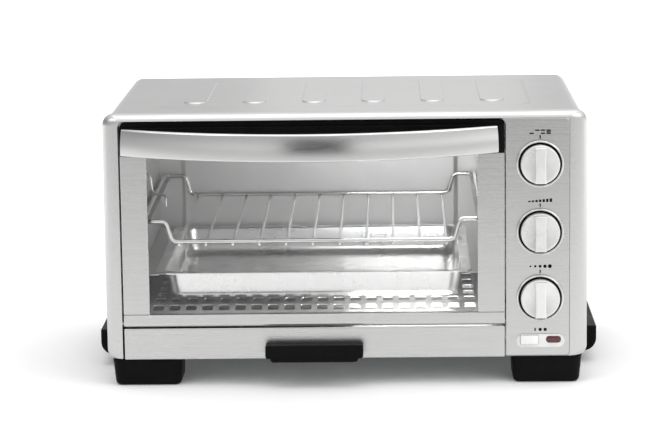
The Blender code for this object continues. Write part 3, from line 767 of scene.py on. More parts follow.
@dataclass(frozen=True)
class SatinSteel(Finish):
    """Plain rolled or plated sheet without a brushed grain."""

    shade: float = 0.62
    roughness: float = 0.30
    mottle: float = 0.06
    relief: float = 0.12
    scale: float = 55.0
    body: float = 1.0  # how far it is bare metal, and not dulled by a coating

    def constants(self) -> dict:
        """Bare or slightly dulled metal."""
        return {"Metallic": self.body}

    def paint(self, graph: Graph) -> None:
        """Soft mottling of the colour and the gloss, and a slight orange peel."""
        spot = graph.place()
        clouds, specks = graph.noise(spot, self.scale, 4.0), graph.noise(spot, 1400.0, 2.0)
        graph.to("Base Color", graph.grey((clouds - 0.5) * self.mottle * 2 + self.shade, (1.0, 0.998, 0.992)))
        graph.to("Roughness", (clouds - 0.5) * 0.14 + (specks - 0.5) * 0.06 + self.roughness)
        graph.bump(clouds + specks * 0.15, self.relief, 0.0004)


@dataclass(frozen=True)
class Chrome(Finish):
    """Bright plating on wire."""

    shade: float = 0.80
    roughness: float = 0.10

    def constants(self) -> dict:
        """Bare metal."""
        return {"Metallic": 1.0}

    def paint(self, graph: Graph) -> None:
        """Drawn lines too fine to see singly, and a little burnt tint."""
        clouds = graph.noise(graph.place((35, 35, 35)), 1.0, 3.0)
        graph.to("Base Color", graph.mix(clouds.spread(0.35, 0.8), (self.shade,) * 3 + (1,), (
            self.shade * 0.90, self.shade * 0.88, self.shade * 0.85, 1)))
        graph.to("Roughness", clouds * 0.12 + self.roughness - 0.05)
        graph.bump(graph.noise(graph.place(), 1500.0, 2.0), 0.06, 0.0001)


@dataclass(frozen=True)
class MouldedPlastic(Finish):
    """Moulded plastic with a fine spark-eroded grain."""

    colour: tuple[float, float, float] = (0.003, 0.003, 0.0033)
    roughness: float = 0.42
    gloss: float = 0.08
    sheen: float = 0.0
    metallic: float = 0.0
    grain: float = 0.25

    def constants(self) -> dict:
        """Its gloss under the grain."""
        return {"Metallic": self.metallic, "Specular IOR Level": self.gloss, "Coat Weight": self.sheen,
                "Coat Roughness": 0.12}

    def paint(self, graph: Graph) -> None:
        """Fine grain in the gloss and the relief, and rubbed patches a touch lighter."""
        spot = graph.place()
        grain, clouds = graph.noise(spot, 2600.0, 2.0), graph.noise(spot, 38.0, 3.0)
        lighter = tuple(min(1.0, c * 1.2 + 0.001) for c in self.colour)
        graph.to("Base Color", graph.mix(clouds.spread(0.3, 0.75), (*self.colour, 1), (*lighter, 1)))
        graph.to("Roughness", (clouds - 0.5) * 0.16 + (grain - 0.5) * 0.10 + self.roughness)
        graph.bump(grain, self.grain, 0.00008)


@dataclass(frozen=True)
class ClearPane(Finish):
    """Toughened glass: clear, with a mirror that grows towards a glancing view."""

    mirror: float = 0.022
    tint: tuple[float, float, float] = (0.989, 0.991, 0.990)

    def paint(self, graph: Graph) -> None:
        """A clear shader and a glossy one, mixed by the angle of view."""
        haze = graph.noise(graph.place((14, 14, 14)), 1.0, 3.0)
        clear = graph.add("ShaderNodeBsdfTransparent", inputs={"Color": (*self.tint, 1)})
        gloss = graph.add("ShaderNodeBsdfAnisotropic", inputs={
            "Color": (0.95, 0.96, 0.96, 1), "Roughness": 0.03})
        facing = graph.add("ShaderNodeLayerWeight", inputs={"Blend": 0.5}, output="Facing")
        share = facing ** 4.0 * 0.75 + haze.spread(0.3, 0.8) * 0.008 + self.mirror
        pane = graph.add("ShaderNodeMixShader", inputs={0: share, 1: clear, 2: gloss})
        graph.tree.links.new(pane.socket, graph.tree.nodes["Material Output"].inputs["Surface"])


@dataclass(frozen=True)
class RedLens(Finish):
    """Deep red moulded lens over an unlit lamp, with faint ribs inside."""

    def constants(self) -> dict:
        """A polished face."""
        return {"Coat Weight": 0.6, "Coat Roughness": 0.04, "Roughness": 0.25}

    def paint(self, graph: Graph) -> None:
        """Ribs in the red, in the colour and the relief."""
        ribs = graph.add("ShaderNodeTexWave", {"wave_type": "BANDS", "bands_direction": "X"}, {
            "Vector": graph.place(), "Scale": 420.0, "Distortion": 0.4}, 1)
        graph.to("Base Color", graph.mix(ribs, (0.05, 0.003, 0.005, 1), (0.13, 0.007, 0.012, 1)))
        graph.bump(ribs, 0.2, 0.0002)


@dataclass(frozen=True)
class Ceramic(Finish):
    """Unglazed steatite bushes and cases."""

    def constants(self) -> dict:
        """Matt."""
        return {"Roughness": 0.62}

    def paint(self, graph: Graph) -> None:
        """Warm white with specks and a dry surface."""
        specks = graph.noise(graph.place(), 900.0, 4.0)
        graph.to("Base Color", graph.mix(specks.spread(0.4, 0.7), (0.80, 0.77, 0.70, 1), (
            0.66, 0.62, 0.55, 1)))
        graph.bump(specks, 0.3, 0.0002)


@dataclass(frozen=True)
class HeatedSheath(Finish):
    """Metal sheath of a heating element, tinted by heat."""

    def constants(self) -> dict:
        """Oxidised metal."""
        return {"Metallic": 0.85}

    def paint(self, graph: Graph) -> None:
        """Grey oxide with browner and bluer zones."""
        clouds = graph.noise(graph.place((26, 60, 60)), 1.0, 4.0)
        tint = graph.add("ShaderNodeValToRGB", {"stops": [
            (0.30, (0.20, 0.19, 0.19, 1)), (0.52, (0.30, 0.28, 0.26, 1)), (0.75, (0.17, 0.18, 0.20, 1))]},
            {"Fac": clouds})
        graph.to("Base Color", tint)
        graph.to("Roughness", clouds * 0.3 + 0.34)
        graph.bump(graph.noise(graph.place(), 1800.0, 2.0), 0.2, 0.0001)


class Finishes:
    """Every finish of the oven, by the record's slot that it dresses."""

    SHELL = BrushedSteel("brushed_sheet", shade=0.58, roughness=0.30, folded=True)
    FRONT = BrushedSteel("brushed_front", shade=0.585, roughness=0.29)
    HANDLE = BrushedSteel("polished_band", shade=0.68, roughness=0.21, contrast=0.03, relief=0.05)
    LINER = SatinSteel("liner_sheet", shade=0.84, roughness=0.40, body=0.70)
    PAN = SatinSteel("pan_sheet", shade=0.86, roughness=0.28, mottle=0.03, relief=0.05, scale=30.0)
    WIRE = Chrome("chromed_wire")
    RING = Chrome("ring_plate", shade=0.84, roughness=0.16)
    BLACK = MouldedPlastic("black_moulding")
    SILVER = MouldedPlastic("silver_moulding", colour=(0.70, 0.70, 0.695), roughness=0.30, gloss=0.5,
                            sheen=0.25, metallic=0.35, grain=0.10)
    WHITE = MouldedPlastic("white_moulding", colour=(0.82, 0.82, 0.81), roughness=0.30, gloss=0.5, sheen=0.2,
                           grain=0.08)
    INK = MouldedPlastic("black_ink", colour=(0.004, 0.004, 0.004), roughness=0.6, grain=0.05)
    LENS = RedLens("red_moulding")
    GLASS = ClearPane("clear_pane")
    BUSH = Ceramic("steatite")
    SHEATH = HeatedSheath("heated_sheath")
    ZINC = SatinSteel("zinc_plated", shade=0.50, roughness=0.38, mottle=0.16, relief=0.15, scale=120.0)
    SPRING = SatinSteel("spring_wire", shade=0.36, roughness=0.32, mottle=0.10, relief=0.05)


FINISH_OF_SLOT = {
    "brushed_steel": Finishes.FRONT, "handle_steel": Finishes.HANDLE, "cavity_steel": Finishes.LINER,
    "pan_steel": Finishes.PAN, "chrome_wire": Finishes.WIRE, "black_plastic": Finishes.BLACK,
    "silver_plastic": Finishes.SILVER, "ring_steel": Finishes.RING, "white_plastic": Finishes.WHITE,
    "red_lens": Finishes.LENS, "door_glass": Finishes.GLASS, "ceramic": Finishes.BUSH,
    "element_sheath": Finishes.SHEATH, "zinc_plate": Finishes.ZINC, "spring_steel": Finishes.SPRING,
}


# ------------------------------------------------------------------ what every sub-assembly shares


class Assembly:
    """A group of pieces that is built together."""

    def hand_in(self, piece: Object, body: str, slot: str, *nodes: str,
                finish: Finish | None = None) -> Object:
        """Dresses a piece and ties it to the frame.

        Args:
            piece: the finished mesh.
            body: the body that it moves with.
            slot: the record's material slot.
            nodes: nodes that it stands for.
            finish: another finish than the slot's own.

        Returns:
            The piece.
        """
        piece.data.materials.clear()
        piece.data.materials.append((finish or FINISH_OF_SLOT[slot]).material())
        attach(piece, body)
        if nodes:
            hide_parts(*nodes)
        LOG.info("%s: %d faces, on %s", piece.name, len(piece.data.polygons), body)
        return piece

    def build(self) -> None:
        """Builds every piece of the group; each group has its own."""
        raise NotImplementedError


# ------------------------------------------------------------------ casing


@dataclass
class Casing(Assembly):
    """The folded outer sheet, the front bezel, the back and what the oven stands on."""

    pad_rise: float = 0.0008
    pad_width: float = 0.0196
    pad_pitch: float = 0.0479
    pad_middle: float = -0.0015
    pad_count: int = 6
    pad_front: float = 0.0700
    pad_back: float = 0.2090
    panel_front: float = 0.0470  # depths of the wide shallow panel round the pads
    panel_back: float = 0.2270
    panel_half: float = 0.1500
    panel_rise: float = 0.0004
    fold_radius: float = 0.0100
    gauge: float = 0.0008
    louvre_count: int = 5
    louvre_pitch: float = 0.0090
    louvre_low: float = 0.1350
    vent_count: int = 7  # rows of slots in the back cover, left and right
    vent_pitch: float = 0.0120
    vent_low: float = 0.0880
    vent_middle: float = 0.1000
    vent_half: float = 0.0350
    strip: float = 0.0139  # how wide the bezel's round sides are
    crown: float = 0.0058
    chin: float = 0.0010
    brow: float = 14.0  # angle in degrees at which the round sides leave the flat face
    bezel_wall: float = 0.0010
    door_gap_radius: float = 0.0055

    def build(self) -> None:
        """Builds the casing."""
        self.wrapper()
        self.bezel()
        self.back()
        self.feet()
        self.side_grips()
        self.spacers()
        self.gland()

    def wrapper(self) -> None:
        """One sheet, pads pressed up, both sides folded down and louvres cut in them."""
        low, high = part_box("outer_wrapper")
        half, top = high.x, high.z - 0.0004 - self.pad_rise - self.panel_rise
        flat_half = half - self.fold_radius
        panel = rounded(-self.panel_half, self.panel_half, FRONT + self.panel_front,
                        FRONT + self.panel_back, 0.012, 8)
        edge = rounded(-flat_half, flat_half, low.y, high.y, 0.0, 0)
        pads = []
        for i in range(self.pad_count):
            x = self.pad_middle + (i - (self.pad_count - 1) / 2) * self.pad_pitch
            pads.append(rounded(x - self.pad_width / 2, x + self.pad_width / 2, FRONT + self.pad_front,
                                FRONT + self.pad_back + i * 2 * TINY, self.pad_width / 2 - 0.0001, 10))
        sheets = [Bench.plate("border", [edge, panel], Axis.Z, top, top),
                  Bench.plate("field", [panel, *pads], Axis.Z, top, top)]
        sheets += [Bench.loop(f"pad_{i}", [(x, y, top) for x, y in pad], True) for i, pad in enumerate(pads)]
        sheet = Bench.joined("wrapper_sheet", *sheets)
        with Bench.editing(sheet):
            bpy.ops.mesh.select_all(action="SELECT")
            bpy.ops.mesh.remove_doubles(threshold=TINY * 2)
            bpy.ops.mesh.normals_make_consistent(inside=False)
        if sum(face.normal.z * face.area for face in sheet.data.polygons) < 0:
            sheet.data.flip_normals()
        self.press(sheet, top)
        self.fold(sheet, flat_half, top - self.fold_radius, low.z)
        Bench.modify(sheet, "SOLIDIFY", thickness=self.gauge, offset=-1.0)
        sheet = Bench.cut(Bench.closed(sheet), self.louvre_tool(half))
        self.hand_in(Bench.smooth(sheet, 30), "oven", "brushed_steel", "outer_wrapper", finish=Finishes.SHELL)

    def press(self, sheet: Object, level: float) -> None:
        """Presses up the shallow panel and then the pads in it, each by several small insets.

        Args:
            sheet: the flat sheet.
            level: its height.
        """
        near, far = FRONT + self.panel_front, FRONT + self.panel_back
        with Bench.editing(sheet):
            Bench.pick_faces(sheet, lambda c, n: abs(c.x) < self.panel_half and near < c.y < far)
            for width, rise in ((0.0012, 0.15), (0.0020, 0.7), (0.0012, 0.15)):
                bpy.ops.mesh.inset(thickness=width, depth=rise * self.panel_rise)
            Bench.pick_faces(sheet, lambda c, n: c.z > level + self.panel_rise / 2, sides=40)
            for width, rise in ((0.0001, 0.08), (0.0002, 0.42), (0.0002, 0.42), (0.0001, 0.08)):
                bpy.ops.mesh.inset(thickness=width, depth=rise * self.pad_rise, use_individual=True)
            bpy.ops.mesh.inset(thickness=0.0004, depth=0.0, use_individual=True)

    def fold(self, sheet: Object, flat_half: float, hinge: float, bottom: float) -> None:
        """Folds both sides of the flat sheet down round the top edges.

        Args:
            sheet: the pressed sheet.
            flat_half: half width of its flat.
            hinge: height of the fold's centre.
            bottom: height of the sheet's lower edges.
        """
        for side in (-1, 1):
            with Bench.editing(sheet):
                Bench.pick_edges(sheet, lambda a, b: abs(a.x - side * flat_half) < TINY
                                 and abs(b.x - side * flat_half) < TINY, rim=True)
                bpy.ops.mesh.spin(steps=10, angle=math.pi / 2, center=(side * flat_half, 0, hinge),
                                  axis=(0, -side, 0))
                bpy.ops.mesh.extrude_edges_move(TRANSFORM_OT_translate={"value": (0, 0, bottom - hinge)})

    def louvre_tool(self, half: float) -> Object:
        """The slots that are cut in both sides, as one tool."""
        near, far = FRONT + 0.120, FRONT + 0.190
        shape = rounded(near, far, self.louvre_low, self.louvre_low + 0.003, 0.0014, 4)
        slots = []
        for side in (-1, 1):
            ends = sorted((side * (half - 0.004), side * (half + 0.004)))
            first = Bench.plate("louvre", [shape], Axis.X, *ends)
            slots += Bench.copies(first, [(0, 0, (i + 1) * self.louvre_pitch)
                                          for i in range(self.louvre_count - 1)])
        return Bench.joined("louvres", *slots)

    def bezel_rings(self, inset: float, start: float, steps: int = 9) -> list[list[Vector]]:
        """Outlines of the bezel from its flat face back round its edges.

        Args:
            inset: how far inside the outer skin they lie.
            start: depth of the flat face behind the front.
            steps: rings in the round.

        Returns:
            The rings, each from bottom left round.
        """
        low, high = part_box("front_bezel")
        depth = high.y - low.y
        first = math.sin(math.radians(self.brow))
        rings = []
        turns = [self.brow + (90 - self.brow) * i / steps for i in range(steps + 1)]
        lines = [(self.brow, 0.0010, 0.0), (self.brow, 0.0006, 0.0001), (self.brow, 0.0002, 0.00055)]
        for turn, border, sunk in lines + [(turn, 0.0, 0.0) for turn in turns]:
            turn = math.radians(turn)
            share = (1 - math.sin(turn)) / (1 - first)
            back = (math.cos(math.radians(self.brow)) - math.cos(turn)) / math.cos(math.radians(self.brow))
            half = high.x - inset - self.strip * share - border
            shape = rounded(-half, half, low.z + inset + self.chin * share + border,
                            high.z - inset - self.crown * share - border,
                            (0.0075 - 0.0045 * share,) * 2 + (0.0100 - 0.0070 * share,) * 2, 8)
            rings.append([Vector((x, low.y + start + sunk + (depth - start) * back, z)) for x, z in shape])
        return rings

    def doorway(self, name: str, grow: float, near: float, far: float) -> Object:
        """A tool with the doorway's outline.

        Args:
            name: the tool's name.
            grow: how much larger than the doorway it is.
            near: depth at which it starts.
            far: depth at which it ends.

        Returns:
            The tool.
        """
        door_low, door_high = Door.limits()
        left, right = door_low.x - 0.0013, door_high.x + 0.0010
        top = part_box("front_bezel")[1].z - self.crown
        radius = self.door_gap_radius + grow
        shape = rounded(left - grow, right + grow, 0.0, top + grow, (0.001, 0.001, radius, radius), 8)
        return Bench.plate(name, [shape], Axis.Y, FRONT + near, FRONT + far)

    def bezel(self) -> None:
        """The pressed frame: drawn round edges, hollow behind, with its doorway and holes."""
        skin = Bench.drawn("bezel_frame", self.bezel_rings(0, 0))
        inner = self.bezel_rings(self.bezel_wall, self.bezel_wall)
        inner.append([point + Vector((0, 0.004, 0)) for point in inner[-1]])
        hollow = Bench.cut(Bench.drawn("hollow", inner), self.doorway("lip", self.bezel_wall, -0.002, 0.020))
        tools = [self.doorway("doorway", 0, -0.004, 0.024)]
        for name in DIALS:
            middle = middle_of(f"{name}_knob")
            tools.append(Bench.drum("hole", (middle.x, FRONT - 0.002, middle.z),
                                    (middle.x, FRONT + 0.004, middle.z), 0.0045))
        for name in ("start_button", "indicator_lens"):
            low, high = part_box(name)
            tools.append(Bench.block("hole", (low.x - 0.0004, FRONT - 0.002, low.z - 0.0004),
                                     (high.x + 0.0004, FRONT + 0.004, high.z + 0.0004)))
        skin = Bench.cut(skin, hollow, *tools)
        self.hand_in(Bench.soften(skin, 0.0007, 3, 62), "oven", "brushed_steel", "front_bezel")

    def back(self) -> None:
        """The back sheet with vents, a hole for the lead, and screws."""
        low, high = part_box("rear_cover")
        outline = rounded(low.x, high.x, low.z, high.z, (0.001, 0.001, 0.0096, 0.0096), 8)
        vents = []
        for x in (-self.vent_middle, self.vent_middle):
            for row in range(self.vent_count):
                z = self.vent_low + row * self.vent_pitch
                vents.append(rounded(x - self.vent_half, x + self.vent_half, z, z + 0.004, 0.0019, 5))
        gland = middle_of("cord_gland")
        hole = arc((gland.x, gland.z), 0.0070, 0, 345, 23)
        cover = Bench.plate("back_cover", [outline, *vents, hole], Axis.Y, low.y, high.y, 0.00025)
        self.hand_in(Bench.smooth(cover), "oven", "brushed_steel", "rear_cover")
        for i, (x, z) in enumerate(((-0.178, 0.030), (0.0, 0.030), (0.178, 0.030), (-0.178, 0.118),
                                    (0.178, 0.118), (-0.172, 0.205), (0.0, 0.208), (0.172, 0.205))):
            self.screw(f"back_screw_{i}", Vector((x, high.y, z)), Vector((0, 1, 0)))

    def screw(self, name: str, place: Vector, outward: Vector) -> None:
        """A pan-head screw with a cross recess.

        Args:
            name: the piece's name.
            place: the middle of its seat.
            outward: the way its head looks.
        """
        profile = [(0, 0.0018), (0.0014, 0.00165), (0.0025, 0.0011), (0.0030, 0.0004), (0.0030, -0.0002),
                   (0, -0.0002)]
        head = Bench.lathe(name, profile, place, outward, 24)
        for turn in (0, 90):
            blade = Bench.block("blade", (-0.0016, -0.0003, 0), (0.0016, 0.0003, 0.0014))
            blade.matrix_world = (Matrix.Translation(place + outward * 0.0009)
                                  @ outward.to_track_quat("Z", "Y").to_matrix().to_4x4()
                                  @ Matrix.Rotation(math.radians(turn + 20), 4, "Z"))
            Bench.cut(head, blade)
        self.hand_in(Bench.smooth(head), "oven", "zinc_plate")

    def feet(self) -> None:
        """Four moulded feet: a tapered block with round corners and a round lower edge."""
        for end in ("front", "rear"):
            for side, name in ((-1, "left"), (1, "right")):
                low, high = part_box(f"foot_{end}_{name}")
                foot = Bench.block(f"{end}_foot_{name}", low, high)
                middle = (low + high) / 2
                Bench.round_edges(foot, lambda a, b: abs(a.z - b.z) > 0.01, 0.0060, 6)
                Bench.round_edges(foot, lambda a, b: max(a.z, b.z) < TINY, 0.0032, 5)
                for vertex in foot.data.vertices:
                    drop = (high.z - vertex.co.z) / (high.z - low.z)
                    outer = side * (vertex.co.x - middle.x) > 0
                    vertex.co.x -= side * (0.0022 if outer else -0.0011) * drop
                self.hand_in(Bench.soften(foot, 0.0004, 2, 60), "oven", "black_plastic", f"foot_{end}_{name}")

    def side_grips(self) -> None:
        """A moulded grip low on each side, flat above and rounded below, hollow for the fingers."""
        low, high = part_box("side_handle_right")
        grip = Bench.block("side_grip_right", low, high)
        Bench.round_edges(grip, lambda a, b: min(a.x, b.x) > high.x - TINY and max(a.z, b.z) < low.z + TINY,
                          0.0105, 10)
        Bench.round_edges(grip, lambda a, b: abs(a.y - b.y) < TINY and min(a.x, b.x) > low.x + TINY
                          or (abs(a.y - b.y) < TINY and abs(a.x - b.x) > 0.003), 0.0016, 4)
        Bench.soften(grip, 0.0008, 3, 50)
        well = Bench.block("well", (low.x + 0.0030, low.y + 0.012, low.z - 0.004),
                           (high.x - 0.0042, high.y - 0.012, low.z + 0.0125))
        Bench.soften(well, 0.0022, 4, 60)
        Bench.cut(grip, well)
        self.hand_in(Bench.smooth(grip), "oven", "black_plastic", "side_handle_right")
        other = Bench.mirrored(grip, "side_grip_left")
        self.hand_in(other, "oven", "black_plastic", "side_handle_left")

    def spacers(self) -> None:
        """Two ribbed bumpers that keep the oven off a wall."""
        for name in ("left", "right"):
            low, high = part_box(f"rear_spacer_{name}")
            shape = rounded(low.x, high.x, low.z, high.z, 0.005, 6)
            bumper = Bench.plate(f"wall_bumper_{name}", [shape], Axis.Y, low.y, high.y, 0.0012, 4)
            ribs = [Bench.block("rib", (x - 0.0006, high.y - 0.0008, low.z + 0.003),
                                (x + 0.0006, high.y + 0.001, high.z - 0.003))
                    for x in ((low.x + high.x) / 2 + 0.004 * k for k in (-2, -1, 0, 1, 2))]
            self.hand_in(Bench.smooth(Bench.cut(bumper, *ribs)), "oven", "black_plastic",
                         f"rear_spacer_{name}")

    def gland(self) -> None:
        """The turned inlet for a supply lead, with rings round its neck."""
        low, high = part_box("cord_gland")
        middle, radius = (low + high) / 2, (high.x - low.x) / 2
        neck, bore = radius * 0.66, radius * 0.40
        profile = [(bore, 0), (neck - 0.0004, 0), (neck, 0.0004)]
        for k in range(4):
            way = 0.0022 + 0.0019 * k
            profile += [(neck, way - 0.0004), (neck - 0.0007, way), (neck, way + 0.0004)]
        total = high.y - low.y
        profile += [(neck, total - 0.0070 - 0.0003)]
        profile += [(radius, total - 0.0068), (radius, total - 0.0030), (radius * 0.74, total), (bore, total)]
        profile = [(r, total - w) for r, w in profile]
        body = Bench.lathe("lead_gland", profile[::-1], (middle.x, low.y, middle.z), (0, 1, 0), 40)
        self.hand_in(Bench.smooth(body), "oven", "black_plastic", "cord_gland")


# ------------------------------------------------------------------ door


@dataclass
class Door(Assembly):
    """The drop-down door: uprights, rails, pane and the bowed handle."""

    gauge: float = 0.0009
    fold: float = 0.0004
    step_depth: float = 0.0014
    step_height: float = 0.2068
    crown: float = 0.0007  # how far the handle's face swells in the middle of its height
    band: float = 0.0016
    lip: float = 0.0034  # how far the handle's edges turn back
    tilt: float = 5.0  # degrees that the handle's face looks up
    end_gap: float = 0.0040
    end_foot: float = 0.0075

    @staticmethod
    def limits() -> tuple[Vector, Vector]:
        """Lowest and highest corner of the closed door's frame."""
        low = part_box("door_bottom_rail")[0]
        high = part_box("door_top_rail")[1]
        return low, high

    def build(self) -> None:
        """Builds the door."""
        self.stiles()
        self.bottom_rail()
        self.top_rail()
        self.pane()
        self.handle()

    def stiles(self) -> None:
        """Folded uprights: a flat face with an outer return, all edges eased."""
        for side, name in ((-1, "left"), (1, "right")):
            low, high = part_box(f"door_{name}_stile")
            outer = low.x if side < 0 else high.x
            turn = outer - side * self.gauge
            stile = Bench.block(f"stile_{name}", low, (high.x, low.y + self.gauge, high.z))
            with Bench.editing(stile):
                bpy.ops.mesh.select_all(action="SELECT")
                bpy.ops.mesh.bisect(plane_co=(turn, 0, 0), plane_no=(1, 0, 0))
                Bench.pick_faces(stile, lambda c, n: n.y > 0.9 and abs(c.x - outer) < self.gauge)
                bpy.ops.mesh.extrude_region_move(TRANSFORM_OT_translate={
                    "value": (0, high.y - low.y - self.gauge, 0)})
            Bench.closed(stile)
            self.hand_in(Bench.soften(stile, self.fold, 3), "door", "brushed_steel", f"door_{name}_stile")

    def bottom_rail(self) -> None:
        """The rail on the hinge: round about its axis below, square above, grooved for the pane."""
        low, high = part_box("door_bottom_rail")
        rail = Bench.block("rail_bottom", low, high)
        Bench.round_edges(rail, lambda a, b: max(a.y, b.y) < low.y + TINY and max(a.z, b.z) < low.z + TINY,
                          0.0031, 8)
        pane_low, pane_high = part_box("door_glass")
        Bench.cut(rail, Bench.block("groove", (low.x - 0.001, pane_low.y - 0.0003, pane_low.z - 0.0003),
                                    (high.x + 0.001, pane_high.y + 0.0003, high.z + 0.01)))
        for name, x in (("left", low.x), ("right", high.x)):
            middle = middle_of(f"hinge_pin_{name}")
            Bench.cut(rail, Bench.drum("bore", (x - 0.012, middle.y, middle.z),
                                       (x + 0.012, middle.y, middle.z), 0.0016, 24))
        self.hand_in(Bench.soften(rail, 0.0003, 3), "door", "brushed_steel", "door_bottom_rail")

    def top_rail(self) -> None:
        """The moulded rail behind the handle: a back plate and a thicker front below its step."""
        low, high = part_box("door_top_rail")
        back = Bench.plate("back", [rounded(low.x, high.x, low.z, high.z, (0.0008, 0.0008, 0.0045, 0.0045))],
                           Axis.Y, low.y + self.step_depth, high.y, 0.0004, 3)
        shape = rounded(low.x, high.x, low.z, self.step_height, (0.0008, 0.0008, 0.0012, 0.0012))
        face = Bench.plate("rail_top", [shape], Axis.Y, low.y, high.y - 0.001, 0.0005, 3)
        rail = Bench.cut(face, back, union=True)
        pane_low, pane_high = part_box("door_glass")
        Bench.cut(rail, Bench.block("groove", (pane_low.x - 0.001, pane_low.y - 0.0003, low.z - 0.01),
                                    (pane_high.x + 0.001, pane_high.y + 0.0003, pane_high.z + 0.0003)))
        rail.name = "rail_top"
        self.hand_in(Bench.smooth(rail), "door", "black_plastic", "door_top_rail")

    def pane(self) -> None:
        """The toughened pane, with ground edges."""
        low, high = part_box("door_glass")
        pane = Bench.block("window_pane", low, high)
        self.hand_in(Bench.soften(pane, 0.0006, 3), "door", "door_glass", "door_glass")

    def handle(self) -> None:
        """The wide band: its section is swept round the bow, with a foot at each end."""
        low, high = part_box("door_handle")
        back = high.y
        middle, half = (low.x + high.x) / 2, (high.x - low.x) / 2
        rise = back - low.y - self.end_gap
        radius = (half * half + rise * rise) / (2 * rise)
        sweep = math.asin(half / radius)
        centre = Vector((middle, low.y + radius, 0))
        section = self.section(radius, low.z, high.z)
        start = [Vector((middle, low.y + (radius - r), z)) for r, z in section]
        turn = Matrix.Rotation(-sweep, 3, "Z")
        start = [centre + turn @ (point - centre) for point in start]
        band = Bench.loop("pull_band", start, True)
        with Bench.editing(band):
            bpy.ops.mesh.select_all(action="SELECT")
            bpy.ops.mesh.spin(steps=56, angle=2 * sweep, center=centre, axis=(0, 0, -1))
            Bench.weld()
        feet = []
        for side in (-1, 1):
            ends = sorted((middle + side * (half - 0.0014), middle + side * (half - self.end_foot)))
            foot = Bench.block("foot", (ends[0], back - self.end_gap + 0.0012, low.z + 0.0020),
                               (ends[1], back, high.z - 0.0020))
            feet.append(Bench.soften(foot, 0.0006, 3))
        piece = Bench.joined("pull_band", Bench.smooth(band, 50), *feet)
        self.hand_in(piece, "door", "handle_steel", "door_handle")

    def section(self, radius: float, low: float, high: float) -> list[Flat]:
        """The band's section as (distance from the bow's centre, height).

        Args:
            radius: distance of the band's foremost line.
            low: height of its lower edge.
            high: height of its upper edge.

        Returns:
            A closed outline: crowned outside, edges rolled back, hollow inside.
        """
        middle, half = (low + high) / 2, (high - low) / 2
        roll = 0.0014
        face = []
        count = 12
        for i in range(count + 1):
            z = -(half - roll) + 2 * (half - roll) * i / count
            face.append((radius - self.crown * (z / half) ** 2, middle + z))
        edge = radius - self.crown * ((half - roll) / half) ** 2
        upper = [(edge - roll + dx, middle + half - roll + dz) for dx, dz in arc((0, 0), roll, 15, 90, 5)]
        lower = [(edge - roll + dx, middle - half + roll + dz) for dx, dz in arc((0, 0), roll, 270, 345, 5)]
        inner_top = [(edge - self.lip, high), (edge - self.lip, high - 0.0010),
                     (edge - self.band - 0.0004, high - 0.0012), (edge - self.band, high - 0.0016)]
        inner_low = [(r, 2 * middle - z) for r, z in reversed(inner_top)]
        lean = math.tan(math.radians(self.tilt))
        return [(r - lean * (z - low), z) for r, z in lower + face + upper + inner_top + inner_low]


# ------------------------------------------------------------------ cavity


